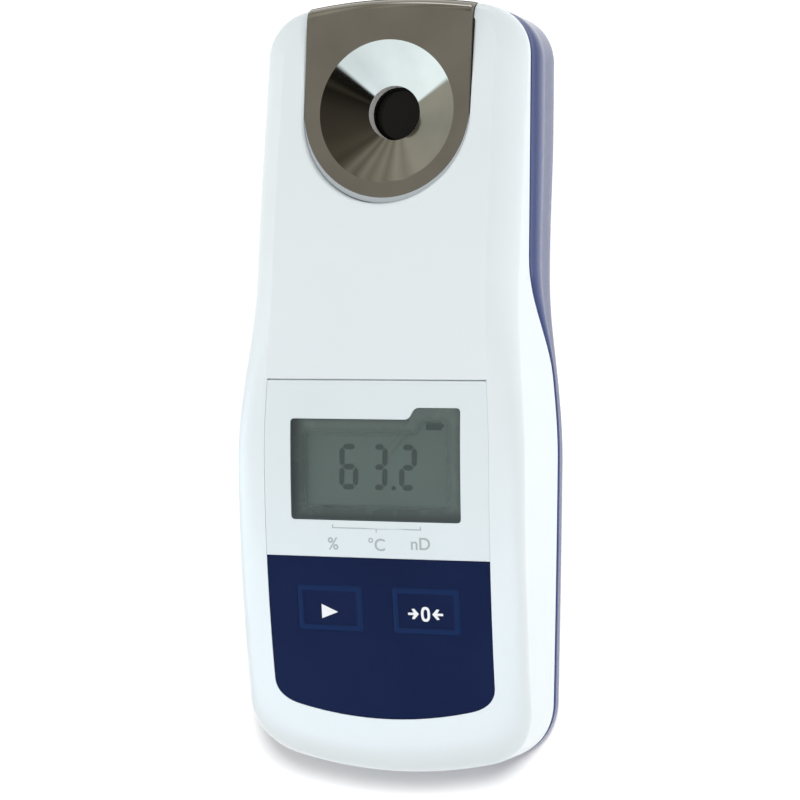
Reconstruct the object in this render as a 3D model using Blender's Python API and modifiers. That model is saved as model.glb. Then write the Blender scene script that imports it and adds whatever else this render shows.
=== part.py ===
"""A portable digital refractometer, modelled as the pieces that it is assembled from.

Metres. The instrument lies on its back: +Z points out of the display face, +Y towards the head with
the sample dish and +X to the user's right. The origin is under the middle of the case, on the plane
that it lies on.
"""
import math

import bmesh
import bpy
import numpy as np
from mathutils import Matrix, Vector

# Clearances
GAP = 0.0003
OVERRUN = 0.002

# Length of the case, as the stretches that make it up from the foot to the head
FOOT_MARGIN = 0.0107
KEYPAD_LENGTH = 0.0302
LABEL_LENGTH = 0.0329
NECK_LENGTH = 0.0326
STAGE_LENGTH = 0.0386
CASE_LENGTH = FOOT_MARGIN + KEYPAD_LENGTH + LABEL_LENGTH + NECK_LENGTH + STAGE_LENGTH
FOOT_END_Y = -CASE_LENGTH / 2
HEAD_END_Y = CASE_LENGTH / 2
KEYPAD_BOTTOM_Y = FOOT_END_Y + FOOT_MARGIN
KEYPAD_TOP_Y = KEYPAD_BOTTOM_Y + KEYPAD_LENGTH
LABEL_TOP_Y = KEYPAD_TOP_Y + LABEL_LENGTH

# Sample stage with its dish
STAGE_RADIUS = 0.0166
STAGE_Y = HEAD_END_Y - STAGE_LENGTH + STAGE_RADIUS
STAGE_DEPTH = 0.0046
STAGE_SLOPE = 0.04
STAGE_THICKNESS = 0.0034
STAGE_FLANGE = 0.001
STAGE_FLANGE_THICKNESS = 0.0012
STAGE_FLANGE_LENGTH = 0.0125
DISH_OFFSET = 0.0008
DISH_Y = STAGE_Y + DISH_OFFSET
DISH_RIM_RADIUS = 0.0136
DISH_DEPTH = 0.0047
DISH_FLOOR_RADIUS = 0.0051
SEAT_DEPTH = 0.0024
SEAT_LIP_THICKNESS = 0.0006
SEAT_LIP_WIDTH = 0.00045
CUP_WALL = 0.002
CUP_DEPTH = 0.0077

# Screws: small ones hold boards and optics, large ones the case
SMALL_SHANK_RADIUS = 0.001
SMALL_HEAD_RADIUS = 0.0019
SMALL_HEAD_HEIGHT = 0.0014
BOARD_SCREW_REACH = 0.0021
OPTICS_SCREW_REACH = 0.0045
CASE_SHANK_RADIUS = 0.00125
CASE_HEAD_RADIUS = 0.0025
CASE_HEAD_HEIGHT = 0.0017
CASE_SCREW_SINK = 0.0006
CASE_BOSS_RADIUS = 0.0027
CASE_SEAT_RADIUS = 0.0034
CASE_SCREW_GRIP = 0.0032
BOSS_ROOT = 0.001
SOCKET_SHARE = 0.5

# Walls of the two shells
FRONT_WALL = 0.0024
SIDE_WALL = 0.0022
REAR_WALL = 0.0022
CEILING_INSET = 0.0011
SHOULDER_WALL = 0.0033
LIP_WIDTH = 0.001
LIP_HEIGHT = 0.0012

# Cells and their bay, which stand on the battery cover
CELL_RADIUS = 0.00525
CELL_LENGTH = 0.0445
CELL_NUB_RADIUS = 0.0019
CELL_NUB_LENGTH = 0.0009
CELL_X = CELL_RADIUS + GAP
CELL_ROOM = 0.0008
COVER_SINK = 0.0003
COVER_THICKNESS = 0.0016
COVER_TOP = COVER_SINK + COVER_THICKNESS
CELL_REST = 0.0012
CELL_HEIGHT = COVER_TOP + CELL_REST + CELL_RADIUS
CONTACT_WIDTH = 0.0076
CONTACT_HEIGHT = 0.0072
PLATE_THICKNESS = 0.0004
SPRING_THICKNESS = 0.0003
SPRING_ROOM = 0.0031
BAY_WALL = 0.0012
BAY_MARGIN = 0.0102
BAY_WIDTH = 2 * (CELL_X + CELL_RADIUS + CELL_ROOM)
BAY_LENGTH = CELL_LENGTH + PLATE_THICKNESS + SPRING_ROOM + 2 * GAP
BAY_FOOT_Y = FOOT_END_Y + BAY_MARGIN
BAY_HEAD_Y = BAY_FOOT_Y + BAY_LENGTH
BAY_ROOF_HEIGHT = CELL_HEIGHT + CELL_RADIUS + 2 * GAP

# Battery cover, behind
COVER_CORNER = 0.004
COVER_RIM = 0.0008
COVER_PAD = 0.0015
COVER_PAD_THICKNESS = 0.0024
COVER_SEAL_WIDTH = 0.001
COVER_SEAL_HEIGHT = 0.0009
COVER_SEAL_OFFSET = 0.0016
COVER_EDGE = COVER_SEAL_OFFSET + COVER_SEAL_WIDTH + COVER_RIM
COVER_SCREW_HEAD_RADIUS = 0.0036
COVER_SCREW_HEAD_HEIGHT = 0.0009
COVER_SCREW_SHANK_RADIUS = 0.0014
COVER_SCREW_GRIP = 0.0045
COVER_SCREW_SLOT = 0.0012
COVER_SLOT_DEPTH = 0.0006
INSERT_RADIUS = 0.0026
INSERT_LENGTH = 0.0045
INSERT_LOW = COVER_TOP + GAP + BOSS_ROOT
INSERT_BOSS_RADIUS = INSERT_RADIUS + GAP + BAY_WALL
COVER_SCREW_Y = BAY_HEAD_Y + COVER_SEAL_OFFSET + COVER_SEAL_WIDTH + GAP + INSERT_BOSS_RADIUS
COVER_FOOT_Y = BAY_FOOT_Y - COVER_EDGE
COVER_HEAD_Y = COVER_SCREW_Y + COVER_SCREW_HEAD_RADIUS + GAP + COVER_RIM

# Case outline, seen from the front
HEAD_SCREW_X = STAGE_RADIUS + STAGE_FLANGE + GAP + CASE_BOSS_RADIUS
HEAD_SIDE_ROOM = 0.0028
HEAD_WIDTH = 2 * (HEAD_SCREW_X + CASE_BOSS_RADIUS + HEAD_SIDE_ROOM)
FOOT_SCREW_ROOM = 0.0014
FOOT_SCREW_X = BAY_WIDTH / 2 + COVER_EDGE + COVER_PAD + CASE_SEAT_RADIUS + FOOT_SCREW_ROOM
FOOT_SIDE_ROOM = 0.0041
FOOT_WIDTH = 2 * (FOOT_SCREW_X + CASE_BOSS_RADIUS + FOOT_SIDE_ROOM)
BODY_SWELL = 0.0004
BODY_WIDTH = FOOT_WIDTH + 2 * BODY_SWELL
FOOT_TAPER_LENGTH = 0.0125
FOOT_WIDTH_Y = FOOT_END_Y + FOOT_TAPER_LENGTH
WIDENING_SHIFT = 0.0017
WIDENING_Y = LABEL_TOP_Y + WIDENING_SHIFT
WIDENING_LENGTH = 0.034
HEAD_END_RADIUS = 0.112
FOOT_END_RADIUS = 0.080
HEAD_CORNER_WIDTH = 0.0085
HEAD_CORNER_LENGTH = 0.0095
FOOT_CORNER_WIDTH = 0.009
FOOT_CORNER_LENGTH = 0.011
HEAD_SCREW_MARGIN = 0.0145
HEAD_SCREW_Y = HEAD_END_Y - HEAD_SCREW_MARGIN
FOOT_SCREW_MARGIN = 0.015
FOOT_SCREW_Y = FOOT_END_Y + FOOT_SCREW_MARGIN

# Main board, over the bay, with the screws that hold it from below
BOARD_THICKNESS = 0.0012
BOARD_ROOM = 0.0012
BOARD_LOW = BAY_ROOF_HEIGHT + BAY_WALL + BOARD_ROOM + SMALL_HEAD_HEIGHT + GAP
BOARD_TOP = BOARD_LOW + BOARD_THICKNESS
BOARD_WIDTH = 0.038
BOARD_END_ROOM = 0.0008
BOARD_FOOT_Y = FOOT_SCREW_Y + CASE_BOSS_RADIUS + BOARD_END_ROOM
BOARD_HEAD_REACH = 0.0127
BOARD_HEAD_Y = LABEL_TOP_Y + BOARD_HEAD_REACH
BOARD_SCREW_INSET = 0.004
BOARD_SCREW_EDGE = 0.0025
BOARD_SCREW_X = BOARD_WIDTH / 2 - BOARD_SCREW_EDGE
BOARD_BOSS_RADIUS = 0.0023
PROCESSOR_SIZE = 0.008
PROCESSOR_HEIGHT = 0.0012
PROCESSOR_SHIFT = 0.0015
PROCESSOR_Y = LABEL_TOP_Y + PROCESSOR_SHIFT

# Case heights, seen from the side
DISPLAY_ROOM = 0.0092
CASE_HEIGHT = BOARD_TOP + DISPLAY_ROOM
STAGE_HEIGHT = CASE_HEIGHT - STAGE_DEPTH
CROWN_SHIFT = 0.0049
CROWN_Y = LABEL_TOP_Y - CROWN_SHIFT
HEAD_CROWN_RADIUS = 0.353
FOOT_CROWN_RADIUS = 0.235
HEAD_STRAIGHT_SHIFT = 0.0085
HEAD_STRAIGHT_Y = STAGE_Y - HEAD_STRAIGHT_SHIFT
SIDE_CROWN = 0.0006
PARTING_HEAD_HEIGHT = 0.0169
PARTING_BODY_HEIGHT = 0.0056
PARTING_SHIFT = 0.0117
PARTING_Y = LABEL_TOP_Y + PARTING_SHIFT
PARTING_LENGTH = 0.022
GRIP_RISE = 0.0015
GRIP_SHIFT = 0.0227
GRIP_Y = LABEL_TOP_Y + GRIP_SHIFT
GRIP_HALF_LENGTH = 0.026
REAR_ROUNDING = 0.0034

# Shoulder between the front face and the walls
HEAD_SHOULDER_WIDTH = 0.0049
HEAD_SHOULDER_HEIGHT = 0.0046
HEAD_END_SHOULDER_WIDTH = 0.003
HEAD_END_SHOULDER_HEIGHT = 0.0036
BODY_SHOULDER_WIDTH = 0.0059
BODY_SHOULDER_HEIGHT = 0.0022
FOOT_END_SHOULDER_WIDTH = 0.0055
FOOT_END_SHOULDER_HEIGHT = 0.005
HEAD_CREASE_SHARE = 0.5
SHOULDER_LIMIT_SHARE = 0.8

# Prism and its seal
PRISM_RADIUS = 0.0053
PRISM_HEIGHT = 0.008
PRISM_COLLAR_HEIGHT = 0.0032
PRISM_FOOT_WIDTH = 0.003
SEAL_WIRE = 0.0007
SEAL_DROP = 0.0017

# Optics block and what it holds
BLOCK_WIDTH = 0.026
BLOCK_LENGTH = 0.029
BLOCK_BORE_RADIUS = 0.0064
LAMP_RADIUS = 0.0015
LAMP_LENGTH = 0.0032
LAMP_PORT_RADIUS = 0.002
OPTICS_BOARD_WIDTH = 0.015
OPTICS_BOARD_THICKNESS = 0.001
SENSOR_WIDTH = 0.0028
SENSOR_LENGTH = 0.0048
SENSOR_DEPTH = 0.0024
OPTICS_SCREW_X = 0.0106
OPTICS_BOSS_RADIUS = 0.0023
PROBE_RADIUS = 0.0009
PROBE_LENGTH = 0.004

# Ribbon cable
RIBBON_WIDTH = 0.006
RIBBON_THICKNESS = 0.00025
RIBBON_LANDING = 0.0065
RIBBON_BEND = 0.003

# Label and keypad, inlaid in the front
PANEL_POCKET = 0.001
PANEL_THICKNESS = 0.0007
PANEL_MARGIN = 0.0006
KEYPAD_BOTTOM_RADIUS = 0.070
KEYPAD_CORNER = 0.0045
LAYER_MARGIN = 0.010

# Display
WINDOW_WIDTH = 0.0336
WINDOW_LENGTH = 0.0188
WINDOW_MARGIN = 0.0067
WINDOW_FOOT_Y = KEYPAD_TOP_Y + WINDOW_MARGIN
WINDOW_HEAD_Y = WINDOW_FOOT_Y + WINDOW_LENGTH
WINDOW_TAB_WIDTH = 0.0084
WINDOW_TAB_LENGTH = 0.0022
WINDOW_CORNER = 0.0008
WINDOW_LEDGE = 0.0009
GLASS_THICKNESS = 0.0018
HOLDER_BORDER = 0.0016
HOLDER_LEDGE = 0.003
CONNECTOR_WIDTH = 0.002
CONNECTOR_INSET = 0.001

# Keys
KEY_X = 0.00955
KEY_DROP = 0.0098
KEY_Y = KEYPAD_TOP_Y - KEY_DROP
KEY_WIDTH = 0.0131
KEY_LENGTH = 0.0086
KEY_CORNER = 0.0007
KEY_TRAVEL = 0.0005
KEY_WELL = 0.0006
KEY_PROUD = 0.0001
STEM_RADIUS = 0.002
SWITCH_SIZE = 0.006
SWITCH_HEIGHT = 0.0022
SWITCH_BUTTON_RADIUS = 0.0016
SWITCH_BUTTON_SINK = 0.0009

# Counts along the outline and round the small pieces
SIDE_STEPS = 17
CORNER_STEPS = 5
END_STEPS = 3
SHOULDER_STEPS = 3
REAR_STEPS = 3
LAYER_ROWS = 22
LAYER_COLUMNS = 6
CIRCLE_HANDLE_SHARE = 0.5523
ROUND_SIDES = 32
SMALL_SIDES = 12
SEAL_SIDES = 8
SPRING_STEPS = 8

# Colours as they look, red, green and blue of 255, with roughness and metallic
WHITE_PLASTIC = ((232, 238, 238), 0.35, 0.0)
BLUE_PLASTIC = ((44, 60, 110), 0.35, 0.0)
NAVY_FILM = ((26, 36, 68), 0.4, 0.0)
LABEL_FILM = ((226, 233, 236), 0.4, 0.0)
STAGE_STEEL = ((140, 134, 122), 0.18, 1.0)
BRIGHT_STEEL = ((190, 190, 188), 0.25, 1.0)
DARK_GLASS = ((14, 14, 13), 0.03, 0.0)
CLEAR_WINDOW = ((150, 158, 154), 0.05, 0.0)
DISPLAY_GLASS = ((96, 106, 102), 0.2, 0.0)
BLACK_PLASTIC = ((26, 26, 27), 0.5, 0.0)
BLACK_RUBBER = ((20, 20, 20), 0.8, 0.0)
BOARD_GREEN = ((22, 84, 52), 0.5, 0.0)
LAMP_CLEAR = ((236, 214, 150), 0.1, 0.0)
RIBBON_AMBER = ((170, 104, 34), 0.4, 0.0)
BRASS = ((190, 150, 76), 0.3, 1.0)
CELL_JACKET = ((52, 54, 58), 0.35, 0.0)

PART = bpy.data.collections.new("portable_refractometer")
CUTTERS = bpy.data.collections.new("cutters")


def smooth_step(share):
    """Rises from 0 to 1 with level ends."""
    share = np.clip(share, 0, 1)
    return share * share * (3 - 2 * share)


# Form of the case

def case_half_width(y):
    """Half of the outline's width at a place along the case, before the ends round off."""
    y = np.asarray(y, float)
    taper = np.clip(y / FOOT_WIDTH_Y, 0, None) ** 2
    body = BODY_WIDTH / 2 + (FOOT_WIDTH - BODY_WIDTH) / 2 * taper
    return body + (HEAD_WIDTH / 2 - body) * head_share(y)


def head_share(y):
    """0 in the wide body and 1 in the narrow head."""
    return smooth_step((np.asarray(y, float) - WIDENING_Y) / WIDENING_LENGTH + 0.5)


def front_height(y):
    """Height of the front's middle line: two arcs from the crown, with a straight run at the head."""
    y = np.asarray(y, float)
    head_run = HEAD_STRAIGHT_Y - CROWN_Y
    arc = np.clip(y - CROWN_Y, 0, head_run)
    straight = np.maximum(y - HEAD_STRAIGHT_Y, 0)
    foot = np.minimum(y - CROWN_Y, 0)
    head_drop = (arc ** 2 / 2 + straight * head_run) / HEAD_CROWN_RADIUS
    return CASE_HEIGHT - head_drop - foot ** 2 / 2 / FOOT_CROWN_RADIUS


def stage_height(y):
    """Height of the sample stage, which lies nearly level in the crowned front."""
    return STAGE_HEIGHT - STAGE_SLOPE * (np.asarray(y, float) - STAGE_Y)


def rear_height(y):
    """Height of the rear face: flat at both ends, hollowed between them for the fingers."""
    along = np.clip((np.asarray(y, float) - GRIP_Y) / GRIP_HALF_LENGTH, -1, 1)
    return GRIP_RISE * np.cos(along * math.pi / 2) ** 2


def parting_height(y):
    """Height of the line between the shells, which sweeps down from the head to the body."""
    share = smooth_step((np.asarray(y, float) - PARTING_Y) / PARTING_LENGTH + 0.5)
    return PARTING_BODY_HEIGHT + (PARTING_HEAD_HEIGHT - PARTING_BODY_HEIGHT) * share


def side_shoulder_width(y):
    """Distance from a side wall to the edge of the front face."""
    return BODY_SHOULDER_WIDTH + (HEAD_SHOULDER_WIDTH - BODY_SHOULDER_WIDTH) * head_share(y)


def face_height(x, y, height):
    """Height of the front face at a point, a little lower towards the sides."""
    half = case_half_width(y) - side_shoulder_width(y)
    return height(y) - SIDE_CROWN * (np.asarray(x, float) / half) ** 2


def curve_between(start, start_way, end, end_way, steps):
    """Points of a smooth corner that leaves one point along its direction and meets the other."""
    start, start_way, end, end_way = (np.asarray(v, float) for v in (start, start_way, end, end_way))
    share = np.linspace(0, 1, steps + 1)[:, None]
    first = start + start_way * CIRCLE_HANDLE_SHARE
    second = end - end_way * CIRCLE_HANDLE_SHARE
    back = 1 - share
    middle = 3 * back ** 2 * share * first + 3 * back * share ** 2 * second
    return back ** 3 * start + middle + share ** 3 * end


def case_outline():
    """Points of the case's plan outline with their outward normals, from the foot's middle anticlockwise."""
    foot_x = case_half_width(FOOT_END_Y + FOOT_CORNER_LENGTH) - FOOT_CORNER_WIDTH
    head_x = case_half_width(HEAD_END_Y - HEAD_CORNER_LENGTH) - HEAD_CORNER_WIDTH
    foot_y = FOOT_END_Y + foot_x ** 2 / 2 / FOOT_END_RADIUS
    head_y = HEAD_END_Y - head_x ** 2 / 2 / HEAD_END_RADIUS
    side_low = foot_y + FOOT_CORNER_LENGTH
    side_high = head_y - HEAD_CORNER_LENGTH
    foot_line = np.linspace(0, foot_x, END_STEPS + 1)
    foot_end = np.stack([foot_line, FOOT_END_Y + foot_line ** 2 / 2 / FOOT_END_RADIUS], 1)
    side_line = np.linspace(side_low, side_high, SIDE_STEPS + 1)
    side = np.stack([case_half_width(side_line), side_line], 1)
    head_line = np.linspace(head_x, 0, END_STEPS + 1)
    head_end = np.stack([head_line, HEAD_END_Y - head_line ** 2 / 2 / HEAD_END_RADIUS], 1)
    foot_way = (FOOT_CORNER_WIDTH, foot_x / FOOT_END_RADIUS * FOOT_CORNER_WIDTH)
    head_way = (-HEAD_CORNER_WIDTH, head_x / HEAD_END_RADIUS * HEAD_CORNER_WIDTH)
    foot_corner = curve_between(foot_end[-1], foot_way, side[0], (0, FOOT_CORNER_LENGTH), CORNER_STEPS)
    head_corner = curve_between(side[-1], (0, HEAD_CORNER_LENGTH), head_end[0], head_way, CORNER_STEPS)
    right = np.concatenate([foot_end, foot_corner[1:-1], side, head_corner[1:-1], head_end])
    points = np.concatenate([right, right[-2:0:-1] * [-1, 1]])
    tangent = np.roll(points, -1, 0) - np.roll(points, 1, 0)
    normal = np.stack([tangent[:, 1], -tangent[:, 0]], 1)
    return points, normal / np.linalg.norm(normal, axis=1)[:, None]


def corner_limit(y):
    """The smallest bend of the nearer end's corners, which an inset line stays within."""
    head = min(HEAD_CORNER_WIDTH, HEAD_CORNER_LENGTH) ** 2 / max(HEAD_CORNER_WIDTH, HEAD_CORNER_LENGTH)
    foot = min(FOOT_CORNER_WIDTH, FOOT_CORNER_LENGTH) ** 2 / max(FOOT_CORNER_WIDTH, FOOT_CORNER_LENGTH)
    return np.where(y > 0, head, foot)


def shoulder_sizes(points, normal, height):
    """Width, height and crease of the shoulder at each point of the outline."""
    y = points[:, 1]
    head = head_share(y)
    end_width = FOOT_END_SHOULDER_WIDTH + (HEAD_END_SHOULDER_WIDTH - FOOT_END_SHOULDER_WIDTH) * head
    end_drop = FOOT_END_SHOULDER_HEIGHT + (HEAD_END_SHOULDER_HEIGHT - FOOT_END_SHOULDER_HEIGHT) * head
    side_drop = BODY_SHOULDER_HEIGHT + (HEAD_SHOULDER_HEIGHT - BODY_SHOULDER_HEIGHT) * head
    across = normal[:, 0] ** 2
    width = end_width + (side_shoulder_width(y) - end_width) * across
    width = np.minimum(width, SHOULDER_LIMIT_SHARE * corner_limit(y))
    drop = end_drop + (side_drop - end_drop) * across
    room = height(y) - SIDE_CROWN - parting_height(y) - GAP
    return width, np.minimum(drop, SHOULDER_LIMIT_SHARE * room), HEAD_CREASE_SHARE * head * across


def spine_of(points, inset):
    """Points of the middle line that the faces of a shell run in to."""
    reach = HEAD_END_Y - HEAD_CORNER_LENGTH - inset.max()
    return np.stack([np.zeros(len(points)), np.clip(points[:, 1], -reach, reach)], 1)


def level_ring(points, height):
    """A ring of points in plan, raised to their heights."""
    return np.column_stack([points, np.broadcast_to(height, len(points))])


def front_rings(height, top_wall):
    """Rings of a front shell, from the middle of its face round its rim to the middle inside."""
    points, normal = case_outline()
    width, drop, crease = shoulder_sizes(points, normal, height)
    edge = points - normal * width[:, None]
    spine = spine_of(points, width)
    rings = []
    for share in (0, 0.5, 1):
        line = spine + (edge - spine) * share
        rings.append(level_ring(line, face_height(line[:, 0], line[:, 1], height)))
    edge_height = rings[-1][:, 2]
    for step in range(1, SHOULDER_STEPS + 1):
        share = step / SHOULDER_STEPS
        line = points - normal * (width * (1 - share) ** 2)[:, None]
        fall = drop * (2 * share * (1 - share) * crease + share ** 2)
        rings.append(level_ring(line, edge_height - fall))
    rim = parting_height(points[:, 1]) + GAP / 2
    roof = rim + LIP_HEIGHT
    lip = points - normal * LIP_WIDTH
    wall = points - normal * SIDE_WALL
    inner_width = np.minimum(width + CEILING_INSET, corner_limit(points[:, 1]) - GAP)
    inner_edge = points - normal * inner_width[:, None]
    inner_spine = spine_of(points, inner_width)
    rings.append(level_ring(points, rim))
    rings.append(level_ring(lip, rim))
    rings.append(level_ring(lip, roof))
    rings.append(level_ring(wall, roof))
    rings.append(level_ring(wall, np.maximum(edge_height - SHOULDER_WALL, roof + GAP)))
    for share in (1, 0.5, 0):
        line = inner_spine + (inner_edge - inner_spine) * share
        rings.append(level_ring(line, face_height(line[:, 0], line[:, 1], height) - top_wall))
    return rings


def rear_rings():
    """Rings of the rear shell, from the middle inside up over its rim and round to the middle behind."""
    points, normal = case_outline()
    y = points[:, 1]
    rim = parting_height(y) - GAP / 2
    wall = points - normal * SIDE_WALL
    floor_inset = np.full(len(points), SIDE_WALL + REAR_ROUNDING / 2)
    floor_edge = points - normal * floor_inset[:, None]
    floor_spine = spine_of(points, floor_inset)
    rings = []
    for share in (0, 1):
        line = floor_spine + (floor_edge - floor_spine) * share
        rings.append(level_ring(line, rear_height(line[:, 1]) + REAR_WALL))
    rings.append(level_ring(wall, rear_height(y) + REAR_WALL + REAR_ROUNDING / 2))
    rings.append(level_ring(wall, rim))
    rings.append(level_ring(points, rim))
    for step in range(REAR_STEPS + 1):
        turn = math.pi / 2 * step / REAR_STEPS
        line = points - normal * REAR_ROUNDING * (1 - math.cos(turn))
        rings.append(level_ring(line, rear_height(line[:, 1]) + REAR_ROUNDING * (1 - math.sin(turn))))
    rear_edge = points - normal * REAR_ROUNDING
    rear_spine = spine_of(points, np.full(len(points), REAR_ROUNDING))
    for share in (0.5, 0):
        line = rear_spine + (rear_edge - rear_spine) * share
        rings.append(level_ring(line, rear_height(line[:, 1])))
    return rings


def gasket_rings():
    """Rings of the cord that seals the shells, in the step inside the front shell's rim."""
    points, normal = case_outline()
    outer = points - normal * (LIP_WIDTH + GAP)
    inner = points - normal * SIDE_WALL
    low = parting_height(points[:, 1]) + GAP / 2
    high = low + LIP_HEIGHT - GAP
    return [level_ring(inner, low), level_ring(inner, high), level_ring(outer, high), level_ring(outer, low)]


# Making objects

def material(finish):
    """A plastic, metal or glass of one colour, made once and shared."""
    colour, roughness, metallic = finish
    name = "finish_%d_%d_%d" % colour
    if name in bpy.data.materials:
        return bpy.data.materials[name]
    made = bpy.data.materials.new(name)
    made.use_nodes = True
    shader = made.node_tree.nodes["Principled BSDF"]
    linear = [(channel / 255) ** 2.2 for channel in colour]
    shader.inputs["Base Color"].default_value = (*linear, 1)
    shader.inputs["Roughness"].default_value = roughness
    shader.inputs["Metallic"].default_value = metallic
    return made


def placed(name, mesh, finish=None):
    """Puts a mesh in the scene: in the part with its finish, or among the cutters without one."""
    thing = bpy.data.objects.new(name, mesh)
    if finish is None:
        CUTTERS.objects.link(thing)
        thing.hide_render = True
        thing.display_type = "WIRE"
        return thing
    PART.objects.link(thing)
    own = material(finish).copy()
    own.name = name + "_finish"
    mesh.materials.append(own)
    return thing


def mesh_of(name, shape):
    """Turns a bmesh into a mesh with its faces pointing out."""
    bmesh.ops.recalc_face_normals(shape, faces=shape.faces)
    if shape.calc_volume(signed=True) < 0:
        bmesh.ops.reverse_faces(shape, faces=shape.faces)
    mesh = bpy.data.meshes.new(name)
    shape.to_mesh(mesh)
    shape.free()
    return mesh


def smooth_shaded(thing, degrees=35):
    """Shades a round piece smooth, with its sharp edges kept."""
    thing.data.shade_smooth()
    thing.data.set_sharp_from_angle(angle=math.radians(degrees))
    return thing


def box(name, low, high, finish=None):
    """A block between two corners."""
    low, high = Vector(low), Vector(high)
    shape = bmesh.new()
    place = Matrix.Translation((low + high) / 2) @ Matrix.Diagonal((*(high - low), 1))
    bmesh.ops.create_cube(shape, size=1, matrix=place)
    return placed(name, mesh_of(name, shape), finish)


def rod(name, centre, radius, low, high, finish=None, sides=SMALL_SIDES, along="Z"):
    """A cylinder from low to high along Z or Y; centre holds its other two coordinates."""
    shape = bmesh.new()
    bmesh.ops.create_cone(shape, cap_ends=True, segments=sides, radius1=radius, radius2=radius,
                          depth=high - low)
    middle = (low + high) / 2
    if along == "Y":
        turn = Matrix.Rotation(-math.pi / 2, 4, "X")
        place = Matrix.Translation((centre[0], middle, centre[1])) @ turn
    else:
        place = Matrix.Translation((centre[0], centre[1], middle))
    shape.transform(place)
    return smooth_shaded(placed(name, mesh_of(name, shape), finish))


def turned(name, profile, centre, finish=None, sides=ROUND_SIDES):
    """A turned piece on a vertical axis: the profile lists radius and height down its outer side."""
    mesh = bpy.data.meshes.new(name)
    points = [(radius, 0, height) for radius, height in profile]
    mesh.from_pydata(points, [(i, i + 1) for i in range(len(points) - 1)], [])
    thing = placed(name, mesh, finish)
    thing.location = (*centre, 0)
    screw = thing.modifiers.new("turning", "SCREW")
    screw.steps = sides
    screw.render_steps = sides
    screw.use_merge_vertices = True
    screw.merge_threshold = 0.00001
    screw.use_smooth_shade = True
    return thing


def plate(name, outline, low, high, finish=None, along="Z"):
    """A flat outline given a thickness, upwards, or sideways with its points taken as Y and Z."""
    curve = bpy.data.curves.new(name, "CURVE")
    curve.dimensions = "2D"
    curve.fill_mode = "BOTH"
    curve.extrude = (high - low) / 2
    line = curve.splines.new("POLY")
    line.points.add(len(outline) - 1)
    for point, place in zip(line.points, outline):
        point.co = (place[0], place[1], 0, 1)
    line.use_cyclic_u = True
    drawn = bpy.data.objects.new(name, curve)
    bpy.context.scene.collection.objects.link(drawn)
    bpy.context.view_layer.update()
    evaluated = drawn.evaluated_get(bpy.context.evaluated_depsgraph_get())
    shape = bmesh.new()
    mesh = bpy.data.meshes.new_from_object(evaluated)
    shape.from_mesh(mesh)
    bpy.data.objects.remove(drawn)
    bpy.data.meshes.remove(mesh)
    bmesh.ops.remove_doubles(shape, verts=shape.verts, dist=0.000001)
    shape.transform(Matrix.Translation((0, 0, (low + high) / 2)))
    if along == "X":
        shape.transform(Matrix(((0, 0, 1, 0), (1, 0, 0, 0), (0, 1, 0, 0), (0, 0, 0, 1))))
    return placed(name, mesh_of(name, shape), finish)


def lofted(name, rings, finish=None, closed=False):
    """Skins rings of points: the first and last shrink to a line, or meet each other when closed."""
    shape = bmesh.new()
    rows = [[shape.verts.new(point) for point in ring] for ring in rings]
    pairs = list(zip(rows, rows[1:]))
    if closed:
        pairs.append((rows[-1], rows[0]))
    for lower, upper in pairs:
        for i in range(len(lower)):
            j = (i + 1) % len(lower)
            shape.faces.new((lower[i], lower[j], upper[j], upper[i]))
    bmesh.ops.remove_doubles(shape, verts=shape.verts, dist=0.000001)
    bmesh.ops.triangulate(shape, faces=shape.faces)
    return smooth_shaded(placed(name, mesh_of(name, shape), finish))


def with_boolean(target, other, operation):
    """Adds one exact Boolean to a piece."""
    modifier = target.modifiers.new(operation.lower() + "_" + other.name, "BOOLEAN")
    modifier.operation = operation
    modifier.object = other
    modifier.solver = "EXACT"


def cut(target, *others):
    for other in others:
        with_boolean(target, other, "DIFFERENCE")


def join(target, *others):
    for other in others:
        with_boolean(target, other, "UNION")


def keep_inside(target, other):
    with_boolean(target, other, "INTERSECT")


def set_origin(thing, place):
    """Moves a piece's origin to a place and leaves its shape where it is."""
    thing.data.transform(Matrix.Translation(-Vector(place)))
    thing.location = place


def carry(parent, *things):
    """Makes pieces ride on another."""
    for thing in things:
        thing.parent = parent
        thing.matrix_parent_inverse = Matrix.Translation(-parent.location)


# Flat outlines

def rounded(corners, radius, steps=3):
    """A polygon with each corner rounded by a curve that starts this far from it."""
    corners = [np.asarray(corner, float) for corner in corners]
    points = []
    for before, corner, after in zip(corners[-1:] + corners[:-1], corners, corners[1:] + corners[:1]):
        start = corner + (before - corner) / np.linalg.norm(before - corner) * radius
        end = corner + (after - corner) / np.linalg.norm(after - corner) * radius
        for step in range(steps + 1):
            share = step / steps
            points.append(start * (1 - share) ** 2 + corner * 2 * share * (1 - share) + end * share ** 2)
    return points


def rectangle(x_low, x_high, y_low, y_high):
    return [(x_low, y_low), (x_high, y_low), (x_high, y_high), (x_low, y_high)]


def grown(outline, distance):
    """An anticlockwise outline moved outwards, or inwards where the distance is negative."""
    points = np.asarray(outline, float)
    ahead = np.roll(points, -1, 0) - points
    ahead /= np.linalg.norm(ahead, axis=1)[:, None]
    behind = np.roll(ahead, 1, 0)
    bisector = np.stack([ahead[:, 1] + behind[:, 1], -ahead[:, 0] - behind[:, 0]], 1)
    reach = 2 / np.sum(bisector ** 2, axis=1)
    return points + bisector * reach[:, None] * distance


def panel_half_width(y):
    """Half of the width of the label and keypad, just inside the edge of the front face."""
    return case_half_width(y) - side_shoulder_width(y) - PANEL_MARGIN


def label_outline():
    line = np.linspace(KEYPAD_TOP_Y + GAP, LABEL_TOP_Y, 8)
    right = np.stack([panel_half_width(line), line], 1)
    return np.concatenate([right, right[::-1] * [-1, 1]])


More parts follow.
